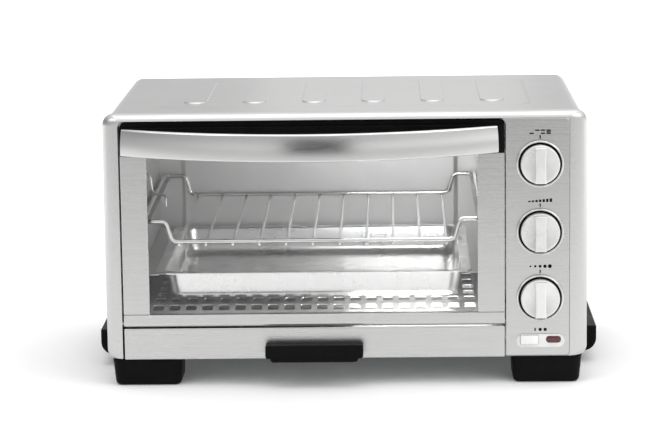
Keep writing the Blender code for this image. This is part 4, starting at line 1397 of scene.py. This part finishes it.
@dataclass
class Cavity(Assembly):
    """The liner and its flange, the slotted floor, the heaters and the wire keeper."""

    slot_columns: int = 20
    slot_rows: int = 8
    slot_pitch: float = 0.0131
    slot_width: float = 0.0086
    slot_length: float = 0.0160
    row_pitch: float = 0.0240
    first_row: float = 0.0300  # depth of the first full row behind the floor's front edge
    slope_depth: float = 0.0215  # how much of the floor slopes down in front, with a row of short slots
    slope: float = 14.0  # degrees
    crease_half: float = 0.1185  # from the middle of the back wall to its upright creases
    crease_width: float = 0.0050
    lever_room: float = 0.0180  # height left free for the hinge's lever beside the floor
    gauge: float = 0.0008

    def build(self) -> None:
        """Builds the inside of the oven."""
        self.floor()
        self.flange()
        self.back_wall()
        self.heaters()
        self.keeper()

    def floor(self) -> None:
        """The heat shield, slotted all over, with a front edge that slopes down."""
        low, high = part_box("perforated_floor")
        outline = rounded(low.x, high.x, low.y, high.y, 0.001, 2)
        middle = (low.x + high.x) / 2
        rows = [(self.slope_depth - 0.0115, self.slope_depth - 0.0015)]
        for row in range(self.slot_rows):
            near = self.first_row + row * self.row_pitch
            rows.append((near, near + self.slot_length))
        slots = []
        for near, far in rows:
            for column in range(self.slot_columns):
                x = middle + (column - (self.slot_columns - 1) / 2) * self.slot_pitch
                slots.append(rounded(x - self.slot_width / 2, x + self.slot_width / 2, low.y + near,
                                     low.y + far, 0.0020, 3))
        shield = Bench.plate("floor_shield", [outline, *slots], Axis.Z, high.z - self.gauge, high.z,
                             0.0002, 1)
        hinge = low.y + self.slope_depth
        with Bench.editing(shield):
            bpy.ops.mesh.select_all(action="SELECT")
            bpy.ops.mesh.bisect(plane_co=(0, hinge, 0), plane_no=(0, 1, 0))
            Bench.pick_faces(shield, lambda c, n: c.y < hinge - TINY)
            bpy.ops.transform.rotate(value=-math.radians(self.slope), orient_axis="X",
                                     center_override=(0, hinge, high.z))
        self.hand_in(Bench.smooth(shield), "oven", "cavity_steel", "perforated_floor")

    def flange(self) -> None:
        """The frame round the cavity's mouth, shorter on the right, where the hinge's lever swings."""
        door_low, door_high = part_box("door_top_rail")
        outer_left, outer_right = door_low.x - self.gauge, door_high.x + self.gauge
        inner_left, inner_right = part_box("cavity_left_wall")[1].x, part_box("cavity_right_wall")[0].x
        top, roof = door_high.z + self.gauge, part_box("cavity_top")[0].z
        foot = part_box("perforated_floor")[0].z
        short_foot = foot + self.lever_room
        outline = [(inner_left, foot), (inner_left, roof), (inner_right, roof), (inner_right, short_foot),
                   (outer_right, short_foot), (outer_right, top), (outer_left, top), (outer_left, foot)]
        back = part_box("cavity_left_wall")[0].y - TINY
        flange = Bench.plate("mouth_flange", [outline], Axis.Y, back - self.gauge, back)
        self.hand_in(flange, "oven", "cavity_steel")

    def back_wall(self) -> None:
        """The back sheet: pressed forward between two soft upright creases."""
        low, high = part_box("cavity_back")
        middle, half = (low.x + high.x) / 2, self.crease_half
        press = high.y - low.y - self.gauge
        line = [(low.x, high.y)]
        for side in (-1, 1):
            for i in range(9):
                share = i / 8 if side < 0 else 1 - i / 8
                eased = share * share * (3 - 2 * share)
                x = middle + side * half - side * (share - 0.5) * self.crease_width
                line.append((x, high.y - press * eased))
        line.append((high.x, high.y))
        outline = [(x, y - self.gauge) for x, y in line] + line[::-1]
        sheet = Bench.plate("back_liner", [outline], Axis.Z, low.z, high.z)
        self.hand_in(Bench.smooth(sheet, 45), "oven", "cavity_steel", "cavity_back")

    def heaters(self) -> None:
        """Two hairpin tubes with smooth bends."""
        for name in ("upper", "lower"):
            low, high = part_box(f"{name}_element")
            radius = (high.z - low.z) / 2
            z = (low.z + high.z) / 2
            near, far, left = low.y + radius, high.y - radius, low.x + radius
            line = bent([(high.x, near, z), (left, near, z), (left, far, z), (high.x, far, z)], 0.016, 12)
            tube = Bench.tube(f"{name}_heater", line, radius, sides=6)
            self.hand_in(tube, "oven", "element_sheath", f"{name}_element")

    def keeper(self) -> None:
        """The bent wire on the left wall, over the end of the rack."""
        box_low, box_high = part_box("rack_hook_left")
        root = Vector((box_low.x + 0.0002, box_low.y + 0.0010, box_high.z - 0.0010))
        route = ((0.0, 0.0, 0.0), (0.0070, 0.0, 0.0), (0.0085, 0.0, -0.0035), (0.0095, 0.002, -0.0135),
                 (0.0110, 0.006, -0.0175), (0.0180, 0.020, -0.0210), (0.0188, 0.022, -0.0235),
                 (0.0184, 0.022, -0.0305))
        wire = Bench.tube("rack_keeper", bent([root + Vector(step) for step in route], 0.004, 5), 0.0010)
        self.hand_in(wire, "oven", "chrome_wire", "rack_hook_left")


# ------------------------------------------------------------------ rack and pan


@dataclass
class RackAndPan(Assembly):
    """The wire rack and the baking pan under it."""

    rail: float = 0.0018
    cross: float = 0.0012
    cross_count: int = 11
    cross_pitch: float = 0.0212
    crank_in: float = 0.1115  # from the rack's middle to the foot and the head of each crank
    crank_out: float = 0.1165
    corner: float = 0.0050
    sheet: float = 0.0008
    rim: float = 0.0068  # width of the pan's flat rim
    foot_inset: float = 0.0102  # how far inside the rim's edge the pan's walls end
    bend: float = 0.0075  # radius between its walls and bottom

    def build(self) -> None:
        """Builds both."""
        self.rack()
        self.pan()

    def rack(self) -> None:
        """A cranked outer frame, and straight cross wires welded under its rails."""
        low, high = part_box("wire_rack")
        middle, half = (low.x + high.x) / 2, (high.x - low.x) / 2 - self.rail
        near, far = low.y + self.rail, high.y - self.rail
        low_rail = low.z + 2 * self.cross - 0.0006 + self.rail
        rise = 0.0030
        lift = high.z - self.rail - rise - low_rail
        corners = []
        for y, up, way in ((near, 0.0, 1), (far, rise, -1)):
            row = [(-half, lift), (-self.crank_out, lift), (-self.crank_in, 0), (self.crank_in, 0),
                   (self.crank_out, lift), (half, lift)]
            corners += [(middle + x, y, low_rail + up + z) for x, z in row[::way]]
        pieces = [Bench.tube("frame_wire", bent(corners, self.corner, 7, closed=True), self.rail, closed=True,
                             sides=5)]
        for i in range(self.cross_count):
            x = middle + (i - (self.cross_count - 1) / 2) * self.cross_pitch
            under = self.rail + self.cross - 0.0006
            start, end = Vector((x, near - 0.0014, low_rail - under)), Vector((x, far + 0.0014,
                                                                             low_rail + rise - under))
            wire = Bench.drum("cross", start, end, self.cross, 12)
            pieces.append(Bench.soften(wire, 0.0004, 2, 60))
        rack = Bench.joined("rack_wires", *pieces)
        self.hand_in(rack, "rack", "chrome_wire", "wire_rack")

    def pan(self) -> None:
        """A drawn pan: flat rim with a rolled edge, sloping walls and large round lower corners."""
        low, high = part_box("baking_pan")
        bottom, top = low.z, high.z
        turns = [math.pi / 2 * k / 8 for k in range(9)]
        outside = [(self.foot_inset + self.bend + 0.0015, bottom, 0.0055)]
        outside += [(self.foot_inset - self.bend * (math.sin(t) - 1), bottom + self.bend * (1 - math.cos(t)),
                     0.0060 + 0.0060 * math.sin(t)) for t in turns]
        outside += [(self.rim + self.sheet, top - self.sheet - 0.0012, 0.0134),
                    (self.rim, top - self.sheet, 0.0138)]
        edge = [(0.0008, top - self.sheet, 0.0125), (0.0002, top - 0.0010, 0.013), (0.0, top - 0.0005, 0.013),
                (0.0002, top - 0.0001, 0.013), (0.0008, top, 0.0125)]
        inner = self.bend - self.sheet
        inside = [(self.rim, top, 0.0138), (self.rim + 2 * self.sheet, top - 0.0014, 0.0130)]
        inside += [(self.foot_inset + self.sheet - inner * (math.sin(t) - 1),
                    bottom + self.sheet + inner * (1 - math.cos(t)), 0.0052 + 0.0060 * math.sin(t))
                   for t in reversed(turns)]
        inside += [(self.foot_inset + self.bend + 0.0030, bottom + self.sheet, 0.0050)]
        rings = []
        for inset, z, radius in outside + edge + inside:
            shape = rounded(low.x + inset, high.x - inset, low.y + inset, high.y - inset, radius, 10)
            rings.append([(x, y, z) for x, y in shape])
        self.hand_in(Bench.smooth(Bench.drawn("baking_tin", rings), 45), "pan", "pan_steel", "baking_pan")


# ------------------------------------------------------------------ crumb tray


@dataclass
class CrumbTray(Assembly):
    """The shallow drawer under the door, with its black pull."""

    gauge: float = 0.0008
    front_depth: float = 0.0064
    lower_step: float = 0.0040  # how far in the pull's lower half steps at each end

    def build(self) -> None:
        """Builds the tray and the pull."""
        self.tray()
        self.pull()

    def tray(self) -> None:
        """A folded front with eased edges, and the tray behind it."""
        low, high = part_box("crumb_tray")
        front = Bench.block("tray_front", low, (high.x, low.y + self.front_depth, high.z))
        Bench.soften(front, 0.0009, 4)
        Bench.cut(front, Bench.block("hollow", (low.x + 0.001, low.y + 0.001, low.z + 0.001),
                                     (high.x - 0.001, low.y + 0.010, high.z - 0.001)))
        inset, floor, rim = 0.0080, low.z + 0.0029, low.z + 0.0144
        pan_low, pan_high = (low.x + inset, low.y + 0.0006, floor), (high.x - inset - 0.0057, high.y, rim)
        basin = Bench.block("basin", pan_low, pan_high)
        Bench.soften(basin, 0.0020, 4)
        hollow = Bench.block("basin_hollow", Vector(pan_low) + Vector((1, 1, 1)) * self.gauge,
                             Vector(pan_high) + Vector((-self.gauge, -self.gauge, 0.01)))
        Bench.soften(hollow, 0.0014, 4)
        Bench.cut(basin, hollow)
        tray = Bench.cut(basin, front, union=True)
        tray.name = "crumb_drawer_tray"
        self.hand_in(Bench.smooth(tray), "crumb_drawer", "brushed_steel", "crumb_tray")

    def pull(self) -> None:
        """A rounded bar whose lower half steps in, hollowed from below."""
        low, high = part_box("crumb_tray_handle")
        split = low.z + (high.z - low.z) * 0.42
        upper = Bench.block("tray_pull", (low.x, low.y, low.z + 0.0030), high)
        Bench.round_edges(upper, lambda a, b: abs(a.y - b.y) > 0.005 or abs(a.z - b.z) > 0.005
                          and max(a.y, b.y) < low.y + TINY, 0.0020, 5)
        Bench.soften(upper, 0.0009, 3)
        lower = Bench.block("lower", (low.x + self.lower_step, low.y + 0.0005, low.z),
                            (high.x - self.lower_step, high.y - 0.0040, split))
        Bench.round_edges(lower, lambda a, b: abs(a.y - b.y) > 0.005, 0.0028, 5)
        Bench.soften(lower, 0.0007, 3)
        bar = Bench.cut(upper, lower, union=True)
        Bench.cut(bar, Bench.block("well", (low.x + 0.0065, low.y + 0.0036, low.z - 0.004),
                                   (high.x - 0.0065, high.y - 0.0024, high.z - 0.0038)))
        self.hand_in(Bench.smooth(bar), "crumb_drawer", "black_plastic", "crumb_tray_handle")


# ------------------------------------------------------------------ control panel


@dataclass
class ControlPanel(Assembly):
    """Knobs in their rings, the button, its trim, the light, and the printed marks."""

    disc: float = 0.0072  # how far the knob's disc stands out; the grip bar stands further
    bore: float = 0.0040  # radius of the hole in the black disc round its stem, which paints the shadow in the gap round the knob
    waist: float = 0.0040
    flare: float = 0.0006
    ink: float = 0.00006
    dome: float = 0.0003  # how far the button's middle stands out of its rim

    def build(self) -> None:
        """Builds the panel's fittings."""
        for name in DIALS:
            self.knob(name)
            self.ring(name)
            self.tick(name)
        self.marks()
        self.trim()
        self.button()
        self.lens()

    def knob(self, name: str) -> None:
        """A turned disc with a soft rim and a waisted grip bar across it.

        Args:
            name: which of the three controls.
        """
        low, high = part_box(f"{name}_knob")
        middle, radius = (low + high) / 2, (high.x - low.x) / 2 - 0.0003
        face, reach = FRONT, FRONT - low.y
        profile = [(0, self.disc - 0.0006), (radius * 0.55, self.disc - 0.0005), (radius - 0.0022, self.disc)]
        profile += [(radius - 0.0012 + r, self.disc - 0.0012 + w) for r, w in arc((0, 0), 0.0012, 90, 0, 5)]
        profile += [(radius, 0.0013), (radius - 0.0004, 0.0009), (0.0032, 0.0009), (0.0030, -0.0008),
                    (0.0030, face - high.y), (0, face - high.y)]
        disc = Bench.smooth(Bench.lathe(f"{name}_disc", profile, (middle.x, face, middle.z), (0, -1, 0), 72))
        count = 14
        right = [((2 * i / count - 1), radius * 0.925 * (2 * i / count - 1)) for i in range(count + 1)]
        outline = [(middle.x + self.waist + self.flare * s * s, middle.z + z) for s, z in right]
        outline += [(middle.x - self.waist - self.flare * s * s, middle.z + z) for s, z in reversed(right)]
        bar = Bench.plate("bar", [outline], Axis.Y, face - reach, face - self.disc + 0.0020, 0.0011, 4)
        piece = Bench.joined(f"{name}_dial_knob", disc, Bench.smooth(bar))
        self.hand_in(piece, f"{name}_dial", "silver_plastic", f"{name}_knob")

    def ring(self, name: str) -> None:
        """The bright ring that the knob sits in, and a black disc behind the gap round the knob that paints
        the gap's shadow.

        Args:
            name: which of the three controls.
        """
        low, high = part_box(f"{name}_knob_ring")
        middle, outer = (low + high) / 2, (high.x - low.x) / 2
        inner = outer - 0.0021
        height = FRONT - low.y
        crest = [(inner + 0.0003 + r, w) for r, w in
                 [(0.0, height * 0.55), (0.0003, height * 0.8), (0.0008, height * 0.97), (0.0012, height),
                  (0.0016, height * 0.92), (0.0019, height * 0.6)]]
        profile = [(inner, 0.0002), (inner, height * 0.4), *crest, (outer, 0.0006), (outer, 0.0002)]
        ring = Bench.lathe(f"{name}_ring", profile, (middle.x, FRONT, middle.z), (0, -1, 0), 72)
        self.hand_in(Bench.smooth(ring, 50), "oven", "ring_steel", f"{name}_knob_ring")
        # A black disc under the gap between knob and ring: painted shadow, standing in for the shade in that
        # gap.
        profile = [(self.bore, 0.0001), (self.bore, 0.0005), (inner, 0.0005), (inner, 0.0001)]
        painted_gap_shadow = Bench.lathe(f"{name}_seal", profile, (middle.x, FRONT, middle.z), (0, -1, 0), 72)
        self.hand_in(Bench.smooth(painted_gap_shadow), "oven", "black_plastic")

    def mark(self, name: str, shapes: Sequence[Sequence[Flat]]) -> None:
        """Ink on the panel, a hair proud of it.

        Args:
            name: the piece's name.
            shapes: the outlines of its separate strokes.
        """
        plates = [Bench.plate("stroke", [shape], Axis.Y, FRONT - self.ink, FRONT + self.ink)
                  for shape in shapes]
        self.hand_in(Bench.joined(name, *plates), "oven", "black_plastic", finish=Finishes.INK)

    def tick(self, name: str) -> None:
        """The mark over a knob that its grip bar points at.

        Args:
            name: which of the three controls.
        """
        low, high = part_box(f"{name}_knob_ring")
        x, z = (low.x + high.x) / 2, high.z + 0.0011
        self.mark(f"{name}_tick", [rounded(x - 0.0005, x + 0.0005, z, z + 0.0028, 0.0001, 2)])

    def marks(self) -> None:
        """A row of small plain symbols over each control."""
        def bar(x: float, z: float, width: float, height: float) -> list[Flat]:
            """A stroke about a middle."""
            return rounded(x - width / 2, x + width / 2, z - height / 2, z + height / 2,
                           min(width, height) * 0.2, 2)

        x = middle_of("function_knob_ring").x
        heights = {name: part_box(f"{name}_knob_ring")[1].z + 0.0066 for name in DIALS}
        z = heights["function"]
        strokes = []
        for i in range(4):
            left = x + (i - 1.5) * 0.0044
            for rail, missing in ((0.0012, 0), (-0.0012, 1)):
                if i != missing:
                    strokes.append(bar(left, z + rail, 0.0034, 0.0011))
            if i == 3:
                strokes.append(bar(left, z, 0.0034, 0.0008))
        self.mark("function_marks", strokes)
        z = heights["temperature"]
        self.mark("temperature_marks", [bar(x + (i - 3) * 0.0028, z - 0.0011 + 0.0003 * (i / 2), 0.0019,
                                             0.0011 + 0.0003 * i) for i in range(7)])
        z = heights["shade"]
        self.mark("shade_marks", [arc((x + (i - 2) * 0.0038, z), 0.00075 + 0.00020 * i, 0, 340, 17)
                                   for i in range(5)])
        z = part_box("button_trim")[1].z + 0.0035
        self.mark("start_marks", [bar(x - 0.0040, z, 0.0011, 0.0025), arc((x, z), 0.0013, 0, 340, 17),
                                   bar(x + 0.0040, z, 0.0024, 0.0024)])

    def trim(self) -> None:
        """The pill-shaped plate round the button and the light."""
        low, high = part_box("button_trim")
        outline = rounded(low.x, high.x, low.z, high.z, (high.z - low.z) / 2 - 0.0001, 12)
        holes = []
        for name, radius in (("start_button", 0.0006), ("indicator_lens", 0.0024)):
            hole_low, hole_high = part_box(name)
            holes.append(rounded(hole_low.x - GAP, hole_high.x + GAP, hole_low.z - GAP, hole_high.z + GAP,
                                 radius, 5))
        plate = Bench.plate("switch_trim", [outline, *holes], Axis.Y, low.y, high.y, 0.0001, 1)
        self.hand_in(Bench.smooth(plate), "oven", "silver_plastic", "button_trim")

    def button(self) -> None:
        """The push button: a softly domed face and its stem."""
        low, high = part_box("start_button")
        face = Bench.block("push_face", (low.x, low.y + self.dome, low.z), (high.x, low.y + 0.0046, high.z))
        with Bench.editing(face):
            Bench.pick_faces(face, lambda c, n: n.y < -0.9)
            bpy.ops.mesh.inset(thickness=0.0012, depth=0.0)
            bpy.ops.transform.translate(value=(0, -self.dome, 0))
        Bench.soften(face, 0.0006, 3, 30)
        stem = Bench.block("stem", (low.x + 0.004, low.y + 0.0040, low.z + 0.002),
                           (high.x - 0.004, high.y, high.z - 0.002))
        piece = Bench.joined("push_button", face, Bench.soften(stem, 0.0003, 2))
        self.hand_in(piece, "button", "white_plastic", "start_button")

    def lens(self) -> None:
        """The pill-shaped lens, domed at the front."""
        low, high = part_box("indicator_lens")
        rings = []
        for inset, way in ((0.0, high.y), (0.0, low.y + 0.0010), (0.0002, low.y + 0.0006),
                           (0.0005, low.y + 0.0003), (0.0010, low.y + 0.0001), (0.0016, low.y)):
            shape = rounded(low.x + inset, high.x - inset, low.z + inset, high.z - inset,
                            max((high.z - low.z) / 2 - inset - 0.0001, 0.0001), 8)
            rings.append([(x, way, z) for x, z in shape])
        self.hand_in(Bench.smooth(Bench.drawn("lamp_lens", rings), 50), "oven", "red_lens", "indicator_lens")


# ------------------------------------------------------------------ hinge spring


@dataclass
class Hinge(Assembly):
    """The door's tension spring, finer than its plain solid."""

    turns: int = 7
    per_turn: int = 20
    hook_near: float = 0.0060
    hook_far: float = 0.0040

    def build(self) -> None:
        """Builds the spring."""
        low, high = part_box("door_spring")
        wire = 0.0006
        radius = (high.z - low.z) / 2 - wire
        middle = (low + high) / 2
        near, far = low.y + self.hook_near, high.y - self.hook_far
        coil = []
        for i in range(self.turns * self.per_turn + 1):
            turn = 2 * math.pi * i / self.per_turn
            way = near + (far - near) * i / (self.turns * self.per_turn)
            coil.append((middle.x + radius * math.cos(turn), way, middle.z + radius * math.sin(turn)))
        line = [(middle.x + radius, low.y, middle.z), *coil, (middle.x + radius, high.y, middle.z)]
        spring = Bench.tube("door_spring_coil", line, wire, sides=2)
        self.hand_in(spring, "oven", "spring_steel", "door_spring")


# ------------------------------------------------------------------ carried-over nodes


def dress_nodes() -> None:
    """Gives every node that still shows the finish of its slot."""
    for entry in frame["record"]["materials"]:
        for name in entry.get("nodes", []):
            node = frame["nodes"][name]
            if node.hide_render:
                continue
            finish = FINISH_OF_SLOT[entry["slot"]]
            node.data.materials.clear()
            node.data.materials.append(finish.material())
            LOG.info("%s keeps its solid, in %s", name, finish.name)


# ------------------------------------------------------------------ studio


@dataclass
class Studio:
    """Pale floor, soft light and the camera."""

    eye: tuple[float, float, float] = (0.0374, -2.1937, 0.4932)
    yaw: float = 1.252  # degrees to the left of straight ahead
    pitch: float = 9.766  # degrees down
    roll: float = -0.750
    lens: float = 145.43
    near_floor: float = 0.56  # how pale the floor is where only the front's reflection sees it
    glow: float = 0.55
    sky_stops: dict[str, tuple[Flat, ...]] = field(default_factory=lambda: {
        "Z": ((0.0, 0.80), (0.49, 1.0), (0.545, 1.0), (0.585, 0.58), (0.63, 0.60), (0.75, 1.0), (1.0, 1.34)),
        "X": ((0.0, 0.44), (0.25, 0.85), (0.42, 0.92), (0.55, 1.0), (0.85, 1.10), (1.0, 1.30))})

    def build(self) -> None:
        """Sets the stage."""
        self.sky()
        self.floor()
        self.flag()
        self.lamps()
        self.camera()

    def sky(self) -> None:
        """A plain surround: pale at the horizon, greyer just above it, paler overhead and to the right."""
        world = bpy.data.worlds.new("surround")
        bpy.context.scene.world = world
        world.use_nodes = True
        nodes, links = world.node_tree.nodes, world.node_tree.links
        background = nodes["Background"]
        way, split = nodes.new("ShaderNodeTexCoord"), nodes.new("ShaderNodeSeparateXYZ")
        links.new(way.outputs["Generated"], split.inputs[0])
        tones = []
        for axis, stops in self.sky_stops.items():
            ramp, shift = nodes.new("ShaderNodeValToRGB"), nodes.new("ShaderNodeMapRange")
            shift.inputs["From Min"].default_value = -1.0
            links.new(split.outputs[axis], shift.inputs["Value"])
            links.new(shift.outputs["Result"], ramp.inputs["Fac"])
            Graph.set_stops(ramp.color_ramp, [(at, (value, value, value, 1)) for at, value in stops])
            tones.append(ramp.outputs["Color"])
        blend = nodes.new("ShaderNodeMix")
        blend.data_type, blend.blend_type = "RGBA", "MULTIPLY"
        blend.inputs["Factor"].default_value = 1.0
        links.new(tones[0], blend.inputs[6])
        links.new(tones[1], blend.inputs[7])
        links.new(blend.outputs[2], background.inputs["Color"])
        background.inputs["Strength"].default_value = 1.0

    def floor(self) -> None:
        """A white floor that glows far off, and is greyer in front of the oven, out of view."""
        Bench.clear()
        bpy.ops.mesh.primitive_plane_add(size=40, location=(0, 0, -0.0002))
        floor = Bench.named("studio_floor")
        graph = Graph("floor_paint", Roughness=0.9, Emission_Strength=1.0)
        graph.shader.inputs["Specular IOR Level"].default_value = 0.1
        spot = graph.place()
        split = graph.add("ShaderNodeSeparateXYZ", inputs={0: spot}, output="Y")
        far = graph.add("ShaderNodeVectorMath", {"operation": "LENGTH"}, {0: spot}, "Value")
        graph.to("Base Color", graph.grey(split.spread(-1.5, -0.30, self.near_floor, 0.90)))
        glow = far.spread(0.35, 1.6, 0.035, self.glow) * split.spread(-0.5, 0.1)
        graph.to("Emission Color", graph.grey(glow))
        floor.data.materials.append(graph.material)

    def flag(self) -> None:
        """A dark cloth behind the camera that only polished metal sees."""
        Bench.clear()
        bpy.ops.mesh.primitive_plane_add(size=1, location=(0.05, -2.7, 0.24), rotation=(math.pi / 2, 0, 0),
                                         scale=(1.30, 0.50, 1))
        flag = Bench.named("dark_flag")
        graph = Graph("flag_cloth", Roughness=1.0)
        graph.to("Base Color", graph.grey(graph.noise(graph.place(), 4.0) * 0.01 + 0.01))
        flag.data.materials.append(graph.material)
        flag.visible_camera = flag.visible_diffuse = flag.visible_shadow = flag.visible_transmission = False

    def lamp(self, name: str, place: Place, aim: Place, size: Flat, power: float) -> bpy.types.Object:
        """A soft rectangular light.

        Args:
            name: the light's name.
            place: where it hangs.
            aim: what it points at.
            size: its width and height.
            power: in watts.

        Returns:
            The light.
        """
        data = bpy.data.lights.new(name, "AREA")
        data.shape, data.size, data.size_y, data.energy = "RECTANGLE", size[0], size[1], power
        light = bpy.data.objects.new(name, data)
        light.location = place
        light.rotation_euler = (Vector(aim) - Vector(place)).to_track_quat("-Z", "Y").to_euler()
        bpy.context.scene.collection.objects.link(light)
        return light

    def lamps(self) -> None:
        """A panel above, a key, a fill, a rear panel, and small lamps in the cavity and the tray."""
        self.lamp("top_light", (0.0, -0.25, 2.3), (0, -0.1, 0), (2.2, 1.4), 12)
        self.lamp("key_light", (-1.9, -1.6, 1.75), (0.02, 0.05, 0.11), (1.6, 1.2), 9)
        self.lamp("fill_light", (1.9, -1.4, 1.65), (0, 0, 0.1), (1.5, 1.1), 9)
        self.lamp("rear_light", (0.04, 0.75, 0.46), (0.02, 0.0, 0.21), (0.30, 0.26), 0.07)
        self.lamp("cavity_light", (0.055, -0.085, 0.190), (0.085, 0.11, 0.07), (0.12, 0.012), 0.14)
        self.lamp("tray_light", (0.060, -0.074, 0.0295), (0.060, -0.074, 1.0), (0.110, 0.050), 0.20)

    def camera(self) -> None:
        """The camera, from its angles."""
        yaw, pitch, roll = (math.radians(a) for a in (self.yaw, self.pitch, self.roll))
        ahead = Vector((-math.sin(yaw) * math.cos(pitch), math.cos(yaw) * math.cos(pitch), -math.sin(pitch)))
        right = ahead.cross(Vector((0, 0, 1))).normalized()
        up = right.cross(ahead)
        across = right * math.cos(roll) + up * math.sin(roll)
        over = up * math.cos(roll) - right * math.sin(roll)
        data = bpy.data.cameras.new("studio_camera")
        data.lens, data.sensor_width = self.lens, 36.0
        data.clip_start, data.clip_end = 0.05, 60.0
        camera = bpy.data.objects.new("studio_camera", data)
        turn = Matrix((across, over, -ahead)).transposed().to_4x4()
        camera.matrix_world = Matrix.Translation(Vector(self.eye)) @ turn
        bpy.context.scene.collection.objects.link(camera)
        bpy.context.scene.camera = camera
        bpy.context.scene.view_settings.view_transform = "Standard"


# ------------------------------------------------------------------ main


def main() -> None:
    """Builds the oven piece by piece, dresses what is left and sets the stage."""
    logging.basicConfig(level=logging.INFO, format="%(message)s")
    Studio().build()
    for group in (Casing(), Door(), Cavity(), RackAndPan(), CrumbTray(), ControlPanel(), Hinge()):
        LOG.info("building %s", type(group).__name__)
        group.build()
    dress_nodes()


if __name__ == "__main__":
    main()
